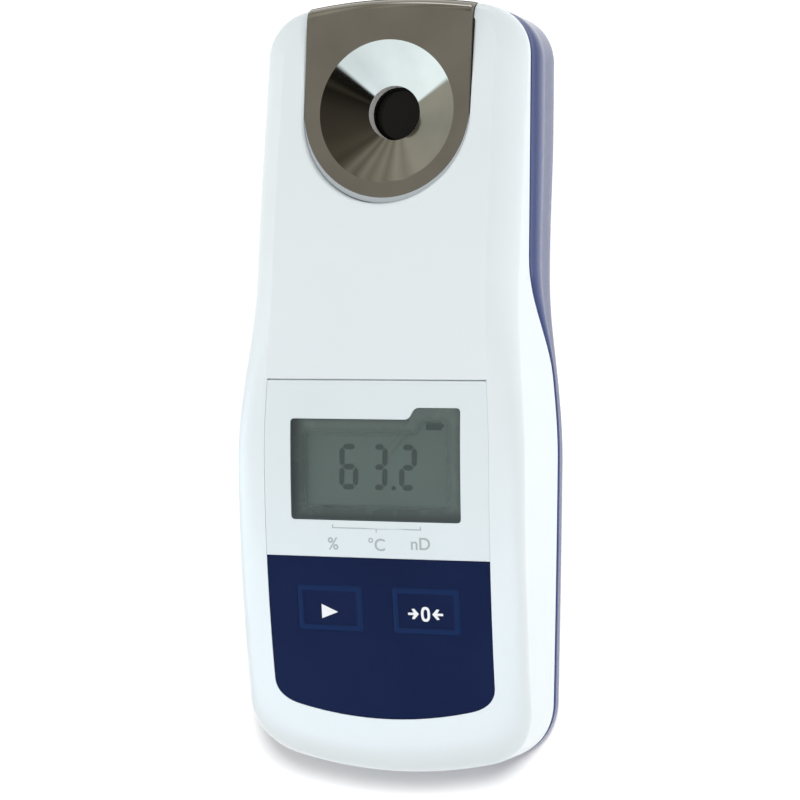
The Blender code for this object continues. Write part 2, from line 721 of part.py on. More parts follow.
def keypad_outline(top):
    """The keypad's outline: straight top, rounded lower corners and a bowed lower edge."""
    corner_x = panel_half_width(KEYPAD_BOTTOM_Y) - KEYPAD_CORNER
    bottom_line = np.linspace(0, corner_x, 6)
    bottom = np.stack([bottom_line, KEYPAD_BOTTOM_Y + bottom_line ** 2 / 2 / KEYPAD_BOTTOM_RADIUS], 1)
    side_line = np.linspace(bottom[-1, 1] + KEYPAD_CORNER, top, 8)
    side = np.stack([panel_half_width(side_line), side_line], 1)
    way = (KEYPAD_CORNER, corner_x / KEYPAD_BOTTOM_RADIUS * KEYPAD_CORNER)
    corner = curve_between(bottom[-1], way, side[0], (0, KEYPAD_CORNER), 4)
    right = np.concatenate([bottom, corner[1:-1], side])
    return np.concatenate([right, right[:0:-1] * [-1, 1]])


def window_outline(grow):
    """The display window, grown all round: a rectangle with a raised tab at its upper right."""
    left, right = -WINDOW_WIDTH / 2, WINDOW_WIDTH / 2
    low, high = WINDOW_FOOT_Y, WINDOW_HEAD_Y
    top = high + WINDOW_TAB_LENGTH
    tab = right - WINDOW_TAB_WIDTH
    step = tab - WINDOW_TAB_LENGTH
    corners = [(left, low), (right, low), (right, top), (tab, top), (step, high), (left, high)]
    return rounded(grown(corners, grow), WINDOW_CORNER)


def key_outline(x):
    low, high = KEY_Y - KEY_LENGTH / 2, KEY_Y + KEY_LENGTH / 2
    return rounded(rectangle(x - KEY_WIDTH / 2, x + KEY_WIDTH / 2, low, high), KEY_CORNER)


def stage_outline(radius):
    """The stage's outline: a half circle towards the display, open to the head."""
    turns = np.linspace(math.pi, 2 * math.pi, ROUND_SIDES // 2 + 1)
    arc = np.stack([radius * np.cos(turns), STAGE_Y + radius * np.sin(turns)], 1)
    end = HEAD_END_Y + OVERRUN
    return np.concatenate([arc, [(radius, end), (-radius, end)]])


def front_layer(name, top, bottom, finish=None, head=LABEL_TOP_Y + LAYER_MARGIN):
    """A layer that follows the front face, between two offsets from it."""
    x_line = np.linspace(-case_half_width(0), case_half_width(0), LAYER_COLUMNS + 1)
    y_line = np.linspace(FOOT_END_Y, head, LAYER_ROWS + 1)
    x, y = np.meshgrid(x_line, y_line, indexing="ij")
    height = face_height(x, y, front_height)
    shape = bmesh.new()
    sheets = []
    for offset in (top, bottom):
        sheets.append([[shape.verts.new((x[i, j], y[i, j], height[i, j] + offset))
                        for j in range(LAYER_ROWS + 1)] for i in range(LAYER_COLUMNS + 1)])
    for sheet in sheets:
        for i in range(LAYER_COLUMNS):
            for j in range(LAYER_ROWS):
                shape.faces.new((sheet[i][j], sheet[i + 1][j], sheet[i + 1][j + 1], sheet[i][j + 1]))
    upper, lower = sheets
    border = [(i, 0) for i in range(LAYER_COLUMNS)]
    border += [(LAYER_COLUMNS, j) for j in range(LAYER_ROWS)]
    border += [(i, LAYER_ROWS) for i in range(LAYER_COLUMNS, 0, -1)]
    border += [(0, j) for j in range(LAYER_ROWS, 0, -1)]
    for (i, j), (k, m) in zip(border, border[1:] + border[:1]):
        shape.faces.new((upper[i][j], upper[k][m], lower[k][m], lower[i][j]))
    bmesh.ops.triangulate(shape, faces=shape.faces)
    return placed(name, mesh_of(name, shape), finish)


def inlay(name, outline, top, bottom, finish=None):
    """A piece of the front: a flat outline cut out of a layer that follows the front face."""
    piece = plate(name, outline, 0, CASE_HEIGHT + OVERRUN, finish)
    keep_inside(piece, front_layer(name + "_layer", top, bottom))
    return piece


# Screws

def screw(name, centre, head_low, head_radius, head_height, shank_radius, top, finish=BRIGHT_STEEL):
    """A screw put in from behind: a cylinder head with a hexagon socket, and its shank upwards."""
    head_high = head_low + head_height
    profile = [(0, top), (shank_radius, top), (shank_radius, head_high), (head_radius, head_high),
               (head_radius, head_low), (0, head_low)]
    piece = turned(name, profile, centre, finish, SMALL_SIDES)
    socket = rod(name + "_socket", centre, head_radius * SOCKET_SHARE, head_low - OVERRUN,
                 head_low + head_height * SOCKET_SHARE, sides=6)
    cut(piece, socket)
    return piece


CASE_SCREWS = [(HEAD_SCREW_X, HEAD_SCREW_Y), (-HEAD_SCREW_X, HEAD_SCREW_Y),
               (FOOT_SCREW_X, FOOT_SCREW_Y), (-FOOT_SCREW_X, FOOT_SCREW_Y)]
BOARD_SCREWS = [(x, y) for y in (BOARD_HEAD_Y - BOARD_SCREW_INSET, BOARD_FOOT_Y + BOARD_SCREW_INSET)
                for x in (BOARD_SCREW_X, -BOARD_SCREW_X)]
OPTICS_SCREWS = [(OPTICS_SCREW_X, STAGE_Y), (-OPTICS_SCREW_X, STAGE_Y)]


def boss_top(x, y):
    """Height at which a boss ends inside the front shell's wall."""
    return float(face_height(x, y, front_height)) - FRONT_WALL + BOSS_ROOT


def screw_top(x, y):
    """Height of a case screw's tip, well inside the front shell's boss."""
    low = float(parting_height(y)) + CASE_SCREW_GRIP
    return min(low, boss_top(x, y) - BOSS_ROOT)


# Front of the case

def make_front_case():
    case = lofted("front_case", front_rings(front_height, FRONT_WALL), WHITE_PLASTIC)
    for number, (x, y) in enumerate(CASE_SCREWS, 1):
        low = float(parting_height(y)) + GAP
        join(case, rod(f"case_boss_{number}", (x, y), CASE_BOSS_RADIUS, low, boss_top(x, y)))
    for number, (x, y) in enumerate(BOARD_SCREWS, 1):
        low = BOARD_TOP + GAP
        join(case, rod(f"board_boss_{number}", (x, y), BOARD_BOSS_RADIUS, low, boss_top(x, y)))
    cut(case, inlay("panel_pocket", grown(keypad_outline(LABEL_TOP_Y), GAP), OVERRUN, -PANEL_POCKET))
    window_low = BOARD_TOP + OVERRUN
    cut(case, plate("window_hole", window_outline(-WINDOW_LEDGE), window_low, CASE_HEIGHT + OVERRUN))
    for side in (-1, 1):
        x = side * KEY_X
        label = "left" if side < 0 else "right"
        cut(case, inlay(f"key_well_{label}", grown(key_outline(x), GAP), OVERRUN, -PANEL_POCKET - KEY_WELL))
        cut(case, rod(f"stem_hole_{label}", (x, KEY_Y), STEM_RADIUS + GAP, window_low, CASE_HEIGHT))
    cut(case, plate("stage_notch", stage_outline(STAGE_RADIUS), 0, CASE_HEIGHT + OVERRUN))
    for number, (x, y) in enumerate(CASE_SCREWS, 1):
        cut(case, rod(f"case_screw_bore_{number}", (x, y), CASE_SHANK_RADIUS + GAP, 0, screw_top(x, y) + GAP))
    for number, (x, y) in enumerate(BOARD_SCREWS, 1):
        top = BOARD_TOP + BOARD_SCREW_REACH + GAP
        cut(case, rod(f"board_screw_bore_{number}", (x, y), SMALL_SHANK_RADIUS + GAP, BOARD_TOP, top))
    return case


def make_panels():
    label = inlay("label_panel", label_outline(), 0, -PANEL_THICKNESS, LABEL_FILM)
    cut(label, plate("label_hole", window_outline(GAP), BOARD_TOP, CASE_HEIGHT + OVERRUN))
    inlay("display_window", window_outline(0), 0, -PANEL_THICKNESS, CLEAR_WINDOW)
    keypad = inlay("keypad_panel", keypad_outline(KEYPAD_TOP_Y), 0, -PANEL_THICKNESS, NAVY_FILM)
    for side, name in ((-1, "start"), (1, "zero")):
        outline = grown(key_outline(side * KEY_X), GAP)
        cut(keypad, plate(f"{name}_hole", outline, BOARD_TOP, CASE_HEIGHT + OVERRUN))


def make_keys():
    """Each key is a cap with a stem that reaches the button of its switch on the board."""
    body_low = BOARD_TOP + GAP
    body_high = body_low + SWITCH_HEIGHT
    button_low = body_high - SWITCH_BUTTON_SINK
    button_high = body_high + SWITCH_BUTTON_SINK
    for side, name in ((-1, "start"), (1, "zero")):
        centre = (side * KEY_X, KEY_Y)
        key = inlay(f"key_{name}", key_outline(centre[0]), KEY_PROUD, -PANEL_THICKNESS, NAVY_FILM)
        face = float(face_height(*centre, front_height))
        stem_low = button_high + GAP
        join(key, rod(f"stem_{name}", centre, STEM_RADIUS, stem_low, face - PANEL_THICKNESS / 2))
        set_origin(key, (*centre, face))
        half = SWITCH_SIZE / 2
        switch = box(f"switch_{name}", (centre[0] - half, centre[1] - half, body_low),
                     (centre[0] + half, centre[1] + half, body_high), BLACK_PLASTIC)
        well = button_low - KEY_TRAVEL - GAP
        cut(switch, rod(f"button_well_{name}", centre, SWITCH_BUTTON_RADIUS + GAP, well, body_high + OVERRUN))
        button = rod(f"switch_button_{name}", centre, SWITCH_BUTTON_RADIUS, button_low, button_high, BRASS)
        set_origin(button, (*centre, button_low))
        carry(key, button)


# Sample stage

def dish_floor():
    """Height of the ring at the bottom of the dish's cone."""
    return float(stage_height(DISH_Y)) - DISH_DEPTH


def prism_top():
    """Height of the prism's face, just under the lip of its seat."""
    return dish_floor() - SEAT_DEPTH - SEAT_LIP_THICKNESS - GAP


def seal_pocket():
    """Radius of the bore in the stage's cup that holds the prism and its seal."""
    return PRISM_RADIUS + SEAL_WIRE + 2 * GAP


def cup_radius():
    return seal_pocket() + CUP_WALL


def make_stage():
    """The metal stage: a slice of the front shell's form with the dish, its cup and two bosses."""
    stage = lofted("sample_stage", front_rings(stage_height, STAGE_THICKNESS), STAGE_STEEL)
    keep_inside(stage, plate("stage_blank", stage_outline(STAGE_RADIUS - GAP), 0, CASE_HEIGHT))
    flange_half = STAGE_RADIUS + STAGE_FLANGE
    flange_end = STAGE_Y + STAGE_FLANGE_LENGTH
    turns = np.linspace(math.pi, 2 * math.pi, ROUND_SIDES // 2 + 1)
    arc = [(flange_half * math.cos(turn), STAGE_Y + flange_half * math.sin(turn)) for turn in turns]
    outline = arc + [(flange_half, flange_end), (-flange_half, flange_end)]
    flange = plate("stage_flange", outline, 0, CASE_HEIGHT)
    top = -FRONT_WALL - GAP
    keep_inside(flange, front_layer("flange_layer", top, top - STAGE_FLANGE_THICKNESS, head=HEAD_END_Y))
    cup_top = float(stage_height(DISH_Y)) - STAGE_THICKNESS / 2
    cup_low = dish_floor() - CUP_DEPTH
    join(stage, flange, rod("stage_cup", (0, DISH_Y), cup_radius(), cup_low, cup_top, sides=ROUND_SIDES))
    for number, centre in enumerate(OPTICS_SCREWS, 1):
        join(stage, rod(f"optics_boss_{number}", centre, OPTICS_BOSS_RADIUS, cup_low, cup_top))
    slope = (DISH_RIM_RADIUS - DISH_FLOOR_RADIUS) / DISH_DEPTH
    open_top = dish_floor() + 2 * DISH_DEPTH
    seat = dish_floor() - SEAT_DEPTH
    under = seat - SEAT_LIP_THICKNESS
    pocket = seal_pocket()
    lip = DISH_FLOOR_RADIUS - SEAT_LIP_WIDTH
    profile = [(0, open_top), (DISH_FLOOR_RADIUS + 2 * DISH_DEPTH * slope, open_top),
               (DISH_FLOOR_RADIUS, dish_floor()), (DISH_FLOOR_RADIUS, seat), (lip, seat), (lip, under),
               (pocket, under), (pocket, cup_low - OVERRUN), (0, cup_low - OVERRUN)]
    cut(stage, turned("dish_cutter", profile, (0, DISH_Y), sides=ROUND_SIDES * 3 // 2))
    for number, centre in enumerate(OPTICS_SCREWS, 1):
        top = cup_low + OPTICS_SCREW_REACH + GAP
        cut(stage, rod(f"optics_bore_{number}", centre, SMALL_SHANK_RADIUS + GAP, cup_low - OVERRUN, top))


def make_prism():
    """The measuring prism: a round collar with two slanted faces below it, and the seal round the collar."""
    top = prism_top()
    low = top - PRISM_HEIGHT
    prism = rod("prism", (0, DISH_Y), PRISM_RADIUS, low, top, DARK_GLASS, sides=ROUND_SIDES)
    shoulder = top - PRISM_COLLAR_HEIGHT
    reach = PRISM_RADIUS + OVERRUN
    half_foot = PRISM_FOOT_WIDTH / 2
    drop = low - OVERRUN
    run = (PRISM_RADIUS - half_foot) / (shoulder - low)
    for side, name in ((-1, "foot"), (1, "head")):
        inner = DISH_Y + side * (half_foot - run * OVERRUN)
        outer = DISH_Y + side * (PRISM_RADIUS + run * OVERRUN)
        far = DISH_Y + side * reach * 2
        outline = [(inner, drop), (far, drop), (far, shoulder + OVERRUN), (outer, shoulder + OVERRUN)]
        if side < 0:
            outline.reverse()
        cut(prism, plate(f"prism_facet_{name}", outline, -reach, reach, along="X"))
    height = top - SEAL_DROP
    half_wire = SEAL_WIRE / 2
    middle = PRISM_RADIUS + GAP + half_wire
    turns = np.linspace(math.pi / 2, -3 * math.pi / 2, SEAL_SIDES + 1)[:-1]
    ring = [(middle + half_wire * math.cos(turn), height + half_wire * math.sin(turn)) for turn in turns]
    turned("prism_seal", ring + ring[:1], (0, DISH_Y), BLACK_RUBBER)


def block_top():
    """Height of the optics block's top, just under the stage's cup."""
    return dish_floor() - CUP_DEPTH - GAP


def block_low():
    """Height of the optics block's foot, which leaves room for the ribbon cable over the rear wall."""
    return REAR_WALL + GRIP_RISE + RIBBON_THICKNESS + 2 * GAP


def light_height():
    """Height of the light's way through the block, from the lamp to the line sensor."""
    return (block_top() + block_low()) / 2


def make_optics():
    """The block under the stage, with the lamp at its foot end and the line sensor at its head end."""
    top = block_top()
    low = block_low()
    foot, head = STAGE_Y - BLOCK_LENGTH / 2, STAGE_Y + BLOCK_LENGTH / 2
    block = box("optics_block", (-BLOCK_WIDTH / 2, foot, low), (BLOCK_WIDTH / 2, head, top), BLACK_PLASTIC)
    cut(block, rod("block_bore", (0, DISH_Y), BLOCK_BORE_RADIUS, low + REAR_WALL / 2, top + OVERRUN,
                   sides=ROUND_SIDES))
    axis = (0, light_height())
    cut(block, rod("lamp_port", axis, LAMP_PORT_RADIUS, foot - OVERRUN, DISH_Y, along="Y"))
    port_x = SENSOR_WIDTH / 2 + GAP
    port_low = axis[1] - SENSOR_LENGTH / 2 - GAP
    port_high = axis[1] + SENSOR_LENGTH / 2 + GAP
    cut(block, box("sensor_port", (-port_x, DISH_Y, port_low), (port_x, head + OVERRUN, port_high)))
    seat = light_height()
    for number, (x, y) in enumerate(OPTICS_SCREWS, 1):
        cut(block, rod(f"optics_hole_{number}", (x, y), SMALL_SHANK_RADIUS + GAP, low, top + OVERRUN))
        cut(block, rod(f"optics_sink_{number}", (x, y), SMALL_HEAD_RADIUS + GAP, low - OVERRUN, seat))
        tip = top + GAP + OPTICS_SCREW_REACH
        screw(f"optics_screw_{number}", (x, y), seat - GAP - SMALL_HEAD_HEIGHT, SMALL_HEAD_RADIUS,
              SMALL_HEAD_HEIGHT, SMALL_SHANK_RADIUS, tip)
    rod("light_source", axis, LAMP_RADIUS, foot, foot + LAMP_LENGTH, LAMP_CLEAR, along="Y")
    board_low = low + GAP
    board_high = top - GAP
    board_half = OPTICS_BOARD_WIDTH / 2
    for name, near, side in (("light_board", foot, -1), ("sensor_board", head, 1)):
        faces = sorted((near + side * GAP, near + side * (GAP + OPTICS_BOARD_THICKNESS)))
        box(name, (-board_half, faces[0], board_low), (board_half, faces[1], board_high), BOARD_GREEN)
    box("line_sensor", (-SENSOR_WIDTH / 2, head - SENSOR_DEPTH, axis[1] - SENSOR_LENGTH / 2),
        (SENSOR_WIDTH / 2, head, axis[1] + SENSOR_LENGTH / 2), BLACK_PLASTIC)
    probe_y = DISH_Y + cup_radius() + GAP + PROBE_RADIUS
    probe_low = block_top() + GAP
    rod("temperature_probe", (0, probe_y), PROBE_RADIUS, probe_low, probe_low + PROBE_LENGTH, LAMP_CLEAR)


def make_ribbon():
    """A flat cable from the sensor's board, under the block and past the lamp's board, to the main board."""
    half = RIBBON_THICKNESS / 2
    clear = GAP + half
    foot, head = STAGE_Y - BLOCK_LENGTH / 2, STAGE_Y + BLOCK_LENGTH / 2
    board = GAP + OPTICS_BOARD_THICKNESS + clear
    axis = light_height()
    under = block_low() - clear
    over = BOARD_TOP + clear
    bend = RIBBON_BEND / 4
    rise = over - axis
    lamp_side = foot - board
    sensor_side = head + board
    line = [(BOARD_HEAD_Y - RIBBON_LANDING, over), (BOARD_HEAD_Y, over), (BOARD_HEAD_Y + RIBBON_BEND, over),
            (lamp_side - RIBBON_BEND, axis + rise / 2), (lamp_side - RIBBON_BEND / 4, axis + rise / 3),
            (lamp_side, axis + rise / 6), (lamp_side, under + bend), (lamp_side + bend / 3, under + bend / 3),
            (lamp_side + bend, under), (sensor_side - bend, under),
            (sensor_side - bend / 3, under + bend / 3), (sensor_side, under + bend), (sensor_side, axis)]
    points = np.array(line)
    way = np.gradient(points, axis=0)
    way /= np.linalg.norm(way, axis=1)[:, None]
    across = np.stack([-way[:, 1], way[:, 0]], 1) * half
    outline = np.concatenate([points - across, (points + across)[::-1]])
    plate("ribbon_cable", outline, -RIBBON_WIDTH / 2, RIBBON_WIDTH / 2, RIBBON_AMBER, along="X")


# Main board and display

def make_board():
    low = BOARD_LOW
    edge = BOARD_WIDTH / 2
    board = box("main_board", (-edge, BOARD_FOOT_Y, low), (edge, BOARD_HEAD_Y, BOARD_TOP), BOARD_GREEN)
    for number, (x, y) in enumerate(BOARD_SCREWS, 1):
        cut(board, rod(f"board_hole_{number}", (x, y), SMALL_SHANK_RADIUS + GAP, low - OVERRUN,
                       BOARD_TOP + OVERRUN))
        screw(f"board_screw_{number}", (x, y), low - GAP - SMALL_HEAD_HEIGHT, SMALL_HEAD_RADIUS,
              SMALL_HEAD_HEIGHT, SMALL_SHANK_RADIUS, BOARD_TOP + BOARD_SCREW_REACH)
    half = PROCESSOR_SIZE / 2
    chip_low = BOARD_TOP + GAP
    chip_high = chip_low + PROCESSOR_HEIGHT
    box("processor", (-half, PROCESSOR_Y - half, chip_low), (half, PROCESSOR_Y + half, chip_high), BLACK_PLASTIC)


def glass_top():
    """Height of the display glass, just under the lowest corner of its window."""
    corner = face_height(WINDOW_WIDTH / 2, WINDOW_FOOT_Y, front_height)
    return float(corner) - PANEL_THICKNESS - GAP


def make_display():
    """The display glass under its window, the holder below it and the rubber strip to the board."""
    top = glass_top()
    low = top - GLASS_THICKNESS
    inset = WINDOW_LEDGE + GAP
    plate("lcd_glass", window_outline(-inset), low, top, DISPLAY_GLASS)
    half = WINDOW_WIDTH / 2 - inset
    foot, head = WINDOW_FOOT_Y + inset, WINDOW_HEAD_Y - inset
    bottom = BOARD_TOP + GAP
    rim = half + HOLDER_BORDER
    holder = box("lcd_holder", (-rim, foot - HOLDER_BORDER, bottom), (rim, head + HOLDER_BORDER, low - GAP),
                 BLACK_PLASTIC)
    strip_half = half - CONNECTOR_INSET
    strip_foot = foot + CONNECTOR_INSET
    strip_head = strip_foot + CONNECTOR_WIDTH
    box("lcd_connector", (-strip_half, strip_foot, bottom), (strip_half, strip_head, low - GAP), BLACK_RUBBER)
    slot = strip_half + GAP
    cut(holder, box("strip_slot", (-slot, strip_foot - GAP, 0), (slot, strip_head + GAP, top)))
    opening = half - HOLDER_LEDGE
    cut(holder, box("holder_window", (-opening, strip_head + HOLDER_LEDGE, 0), (opening, head - HOLDER_LEDGE, top)))


# Rear of the case

def bay_box(grow, low, high, name):
    """A block of the battery bay's plan, grown on its four sides."""
    half = BAY_WIDTH / 2 + grow
    return box(name, (-half, BAY_FOOT_Y - grow, low), (half, BAY_HEAD_Y + grow, high))


def cover_outline(grow):
    half = BAY_WIDTH / 2 + COVER_EDGE
    return grown(rounded(rectangle(-half, half, COVER_FOOT_Y, COVER_HEAD_Y), COVER_CORNER), grow)


def seal_outline(grow):
    """The battery bay's plan, grown and rounded for the seal that runs round it."""
    half = BAY_WIDTH / 2 + COVER_SEAL_OFFSET
    foot = BAY_FOOT_Y - COVER_SEAL_OFFSET
    head = BAY_HEAD_Y + COVER_SEAL_OFFSET
    return grown(rounded(rectangle(-half, half, foot, head), COVER_SEAL_OFFSET), grow)


def make_rear_case():
    case = lofted("rear_case", rear_rings(), BLUE_PLASTIC)
    ledge = COVER_TOP + GAP
    pad_top = ledge + COVER_PAD_THICKNESS
    pad = plate("cover_pad", cover_outline(COVER_PAD), REAR_WALL / 2, pad_top)
    bay = bay_box(BAY_WALL, REAR_WALL / 2, BAY_ROOF_HEIGHT + BAY_WALL, "bay_walls")
    boss = rod("insert_boss", (0, COVER_SCREW_Y), INSERT_BOSS_RADIUS, REAR_WALL,
               INSERT_LOW + INSERT_LENGTH + GAP + BAY_WALL)
    join(case, pad, bay, boss)
    seats = []
    for number, (x, y) in enumerate(CASE_SCREWS, 1):
        high = float(parting_height(y)) - GAP
        floor = float(rear_height(y)) + REAR_ROUNDING / 4
        seats.append(rod(f"screw_seat_{number}", (x, y), CASE_SEAT_RADIUS, floor, high))
    join(case, *seats)
    cut(case, plate("cover_recess", cover_outline(GAP), -OVERRUN, ledge))
    cut(case, bay_box(0, 0, BAY_ROOF_HEIGHT, "bay_space"))
    groove = plate("seal_groove", seal_outline(COVER_SEAL_WIDTH + GAP), 0, ledge + COVER_SEAL_HEIGHT + GAP)
    cut(groove, plate("groove_core", seal_outline(-GAP), -OVERRUN, pad_top))
    cut(case, groove)
    bore_top = INSERT_LOW + INSERT_LENGTH + GAP
    cut(case, rod("insert_bore", (0, COVER_SCREW_Y), INSERT_RADIUS + GAP, 0, bore_top))
    for number, (x, y) in enumerate(CASE_SCREWS, 1):
        high = CASE_SCREW_SINK + CASE_HEAD_HEIGHT + GAP
        cut(case, rod(f"case_head_sink_{number}", (x, y), CASE_HEAD_RADIUS + GAP, -OVERRUN, high))
        top = float(parting_height(y)) + OVERRUN
        cut(case, rod(f"case_shank_hole_{number}", (x, y), CASE_SHANK_RADIUS + GAP, 0, top))
        screw(f"case_screw_{number}", (x, y), CASE_SCREW_SINK, CASE_HEAD_RADIUS, CASE_HEAD_HEIGHT,
              CASE_SHANK_RADIUS, screw_top(x, y))


def make_cover():
    """The battery cover with its seal, and the slotted screw that stays in it."""
    top = COVER_TOP
    cover = plate("battery_cover", cover_outline(0), COVER_SINK, top, BLUE_PLASTIC)
    centre = (0, COVER_SCREW_Y)
    head_low = COVER_SINK
    head_high = head_low + COVER_SCREW_HEAD_HEIGHT
    recess = COVER_SCREW_HEAD_RADIUS + GAP
    cut(cover, rod("screw_recess", centre, recess, -OVERRUN, head_high + GAP, sides=ROUND_SIDES))
    cut(cover, rod("screw_passage", centre, COVER_SCREW_SHANK_RADIUS + GAP, 0, top + OVERRUN))
    set_origin(cover, (0, (COVER_FOOT_Y + COVER_HEAD_Y) / 2, COVER_SINK))
    seal_low = top + GAP
    seal_high = seal_low + COVER_SEAL_HEIGHT
    seal = plate("cover_seal", seal_outline(COVER_SEAL_WIDTH), seal_low, seal_high, BLACK_RUBBER)
    cut(seal, plate("seal_core", seal_outline(0), 0, seal_high + OVERRUN))
    tip = INSERT_LOW + COVER_SCREW_GRIP - GAP
    profile = [(0, tip), (COVER_SCREW_SHANK_RADIUS, tip), (COVER_SCREW_SHANK_RADIUS, head_high),
               (COVER_SCREW_HEAD_RADIUS, head_high), (COVER_SCREW_HEAD_RADIUS, head_low), (0, head_low)]
    coin_screw = turned("cover_screw", profile, centre, BRIGHT_STEEL)
    half = COVER_SCREW_SLOT / 2
    reach = COVER_SCREW_HEAD_RADIUS + OVERRUN
    slot = box("coin_slot", (-reach, COVER_SCREW_Y - half, -OVERRUN),
               (reach, COVER_SCREW_Y + half, head_low + COVER_SLOT_DEPTH))
    cut(coin_screw, slot)
    carry(cover, seal, coin_screw)
    low = INSERT_LOW
    high = low + INSERT_LENGTH
    insert = rod("cover_insert", centre, INSERT_RADIUS, low, high, BRASS)
    cut(insert, rod("insert_thread", centre, COVER_SCREW_SHANK_RADIUS + GAP, 0, high + OVERRUN))


def make_cells():
    """Two cells side by side, head to tail, each between a contact plate and a contact spring."""
    foot_wall, head_wall = BAY_FOOT_Y, BAY_HEAD_Y
    low = CELL_HEIGHT - CONTACT_HEIGHT / 2
    high = CELL_HEIGHT + CONTACT_HEIGHT / 2
    for number, side in ((1, -1), (2, 1)):
        x = side * CELL_X
        nub_wall = foot_wall if side < 0 else head_wall
        flat_wall = head_wall if side < 0 else foot_wall
        way = 1 if side < 0 else -1
        half = CONTACT_WIDTH / 2
        faces = sorted((nub_wall + way * GAP, nub_wall + way * (GAP + PLATE_THICKNESS)))
        box(f"contact_plate_{number}", (x - half, faces[0], low), (x + half, faces[1], high), BRIGHT_STEEL)
        nub_tip = nub_wall + way * (2 * GAP + PLATE_THICKNESS)
        body = nub_tip + way * CELL_NUB_LENGTH
        flat = nub_tip + way * CELL_LENGTH
        bevel = CELL_RADIUS / 8
        profile = [(0, 0), (CELL_NUB_RADIUS, 0), (CELL_NUB_RADIUS, -CELL_NUB_LENGTH),
                   (CELL_RADIUS - bevel, -CELL_NUB_LENGTH), (CELL_RADIUS, -CELL_NUB_LENGTH - bevel),
                   (CELL_RADIUS, bevel - CELL_LENGTH), (CELL_RADIUS - bevel, -CELL_LENGTH), (0, -CELL_LENGTH)]
        cell = turned(f"battery_cell_{number}", profile, (x, nub_tip), CELL_JACKET)
        cell.location = (x, nub_tip, CELL_HEIGHT)
        cell.rotation_euler = (way * math.pi / 2, 0, 0)
        make_contact_spring(number, x, flat, flat_wall, low, high)


def make_contact_spring(number, x, flat, wall, low, high):
    """A strip bent into a shallow arch, with its feet at the wall and its crown at the cell."""
    way = 1 if wall > flat else -1
    near = wall - way * (GAP + SPRING_THICKNESS / 2)
    far = flat + way * (GAP + SPRING_THICKNESS / 2)
    share = np.linspace(-1, 1, SPRING_STEPS + 1)
    arch = near + (far - near) * np.cos(share * math.pi / 2) ** 2
    line = np.stack([arch, CELL_HEIGHT + share * (high - low) / 2], 1)
    direction = np.gradient(line, axis=0)
    direction /= np.linalg.norm(direction, axis=1)[:, None]
    across = np.stack([-direction[:, 1], direction[:, 0]], 1) * SPRING_THICKNESS / 2
    outline = np.concatenate([line - across, (line + across)[::-1]])
    half = CONTACT_WIDTH / 2
    plate(f"contact_spring_{number}", outline, x - half, x + half, BRIGHT_STEEL, along="X")


def build():
    for thing in list(bpy.data.objects):
        bpy.data.objects.remove(thing, do_unlink=True)
    for collection in (PART, CUTTERS):
        bpy.context.scene.collection.children.link(collection)
    make_front_case()
    make_panels()
    make_keys()
    make_stage()
    make_prism()
    make_optics()
    make_ribbon()
    make_board()
    make_display()
    make_rear_case()
    lofted("case_gasket", gasket_rings(), BLACK_RUBBER, closed=True)
    make_cover()
    make_cells()


build()
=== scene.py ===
"""A portable digital refractometer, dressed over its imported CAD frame.

Metres, in the frame of the CAD: +Z points out of the display face, +Y towards the sample dish, and the
case lies on its back on the floor at Z = 0.
"""
import math

import bmesh
import bpy
import numpy as np
from mathutils import Matrix, Vector


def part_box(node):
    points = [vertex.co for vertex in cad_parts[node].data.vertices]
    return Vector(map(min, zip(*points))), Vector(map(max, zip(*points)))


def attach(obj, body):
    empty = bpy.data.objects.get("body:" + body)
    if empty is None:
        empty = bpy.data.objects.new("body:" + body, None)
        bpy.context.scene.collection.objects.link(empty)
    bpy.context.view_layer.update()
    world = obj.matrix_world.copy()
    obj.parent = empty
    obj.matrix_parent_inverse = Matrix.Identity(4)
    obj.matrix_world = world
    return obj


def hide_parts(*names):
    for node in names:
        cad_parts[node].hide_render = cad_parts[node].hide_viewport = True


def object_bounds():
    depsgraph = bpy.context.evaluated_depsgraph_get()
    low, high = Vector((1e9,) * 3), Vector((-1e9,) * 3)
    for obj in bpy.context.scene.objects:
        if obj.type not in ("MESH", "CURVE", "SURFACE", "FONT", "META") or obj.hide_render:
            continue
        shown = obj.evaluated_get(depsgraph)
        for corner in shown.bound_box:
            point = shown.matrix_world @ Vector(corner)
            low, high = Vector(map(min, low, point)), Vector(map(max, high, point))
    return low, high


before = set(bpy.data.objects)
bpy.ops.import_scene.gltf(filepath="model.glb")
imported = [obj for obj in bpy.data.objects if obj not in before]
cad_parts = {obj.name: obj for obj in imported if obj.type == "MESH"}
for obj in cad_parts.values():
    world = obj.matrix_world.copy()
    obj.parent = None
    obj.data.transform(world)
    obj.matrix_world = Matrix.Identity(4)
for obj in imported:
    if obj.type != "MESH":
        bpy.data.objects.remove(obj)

CAD_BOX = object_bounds()
CASE, START, ZERO = "case_body", "key_start_body", "key_zero_body"

# Lengths along the case
HEAD_END_Y, FOOT_END_Y = 0.0725, -0.0725
KEYPAD_FOOT_Y, KEYPAD_HEAD_Y, LABEL_HEAD_Y = -0.0618, -0.0321, 0.0013
STAGE_Y, STAGE_RADIUS = 0.0505, 0.0166
DISH_Y = 0.0513

# Plan of the case
HEAD_HALF, BODY_HALF, FOOT_HALF = 0.0261, 0.0285, 0.0281
FOOT_WIDTH_Y = -0.060
WIDENING_Y, WIDENING_LENGTH = 0.0030, 0.034
HEAD_END_RADIUS, FOOT_END_RADIUS = 0.112, 0.080
HEAD_CORNER, FOOT_CORNER = (0.0085, 0.0095), (0.009, 0.011)
ROUND_HANDLE = 0.5523

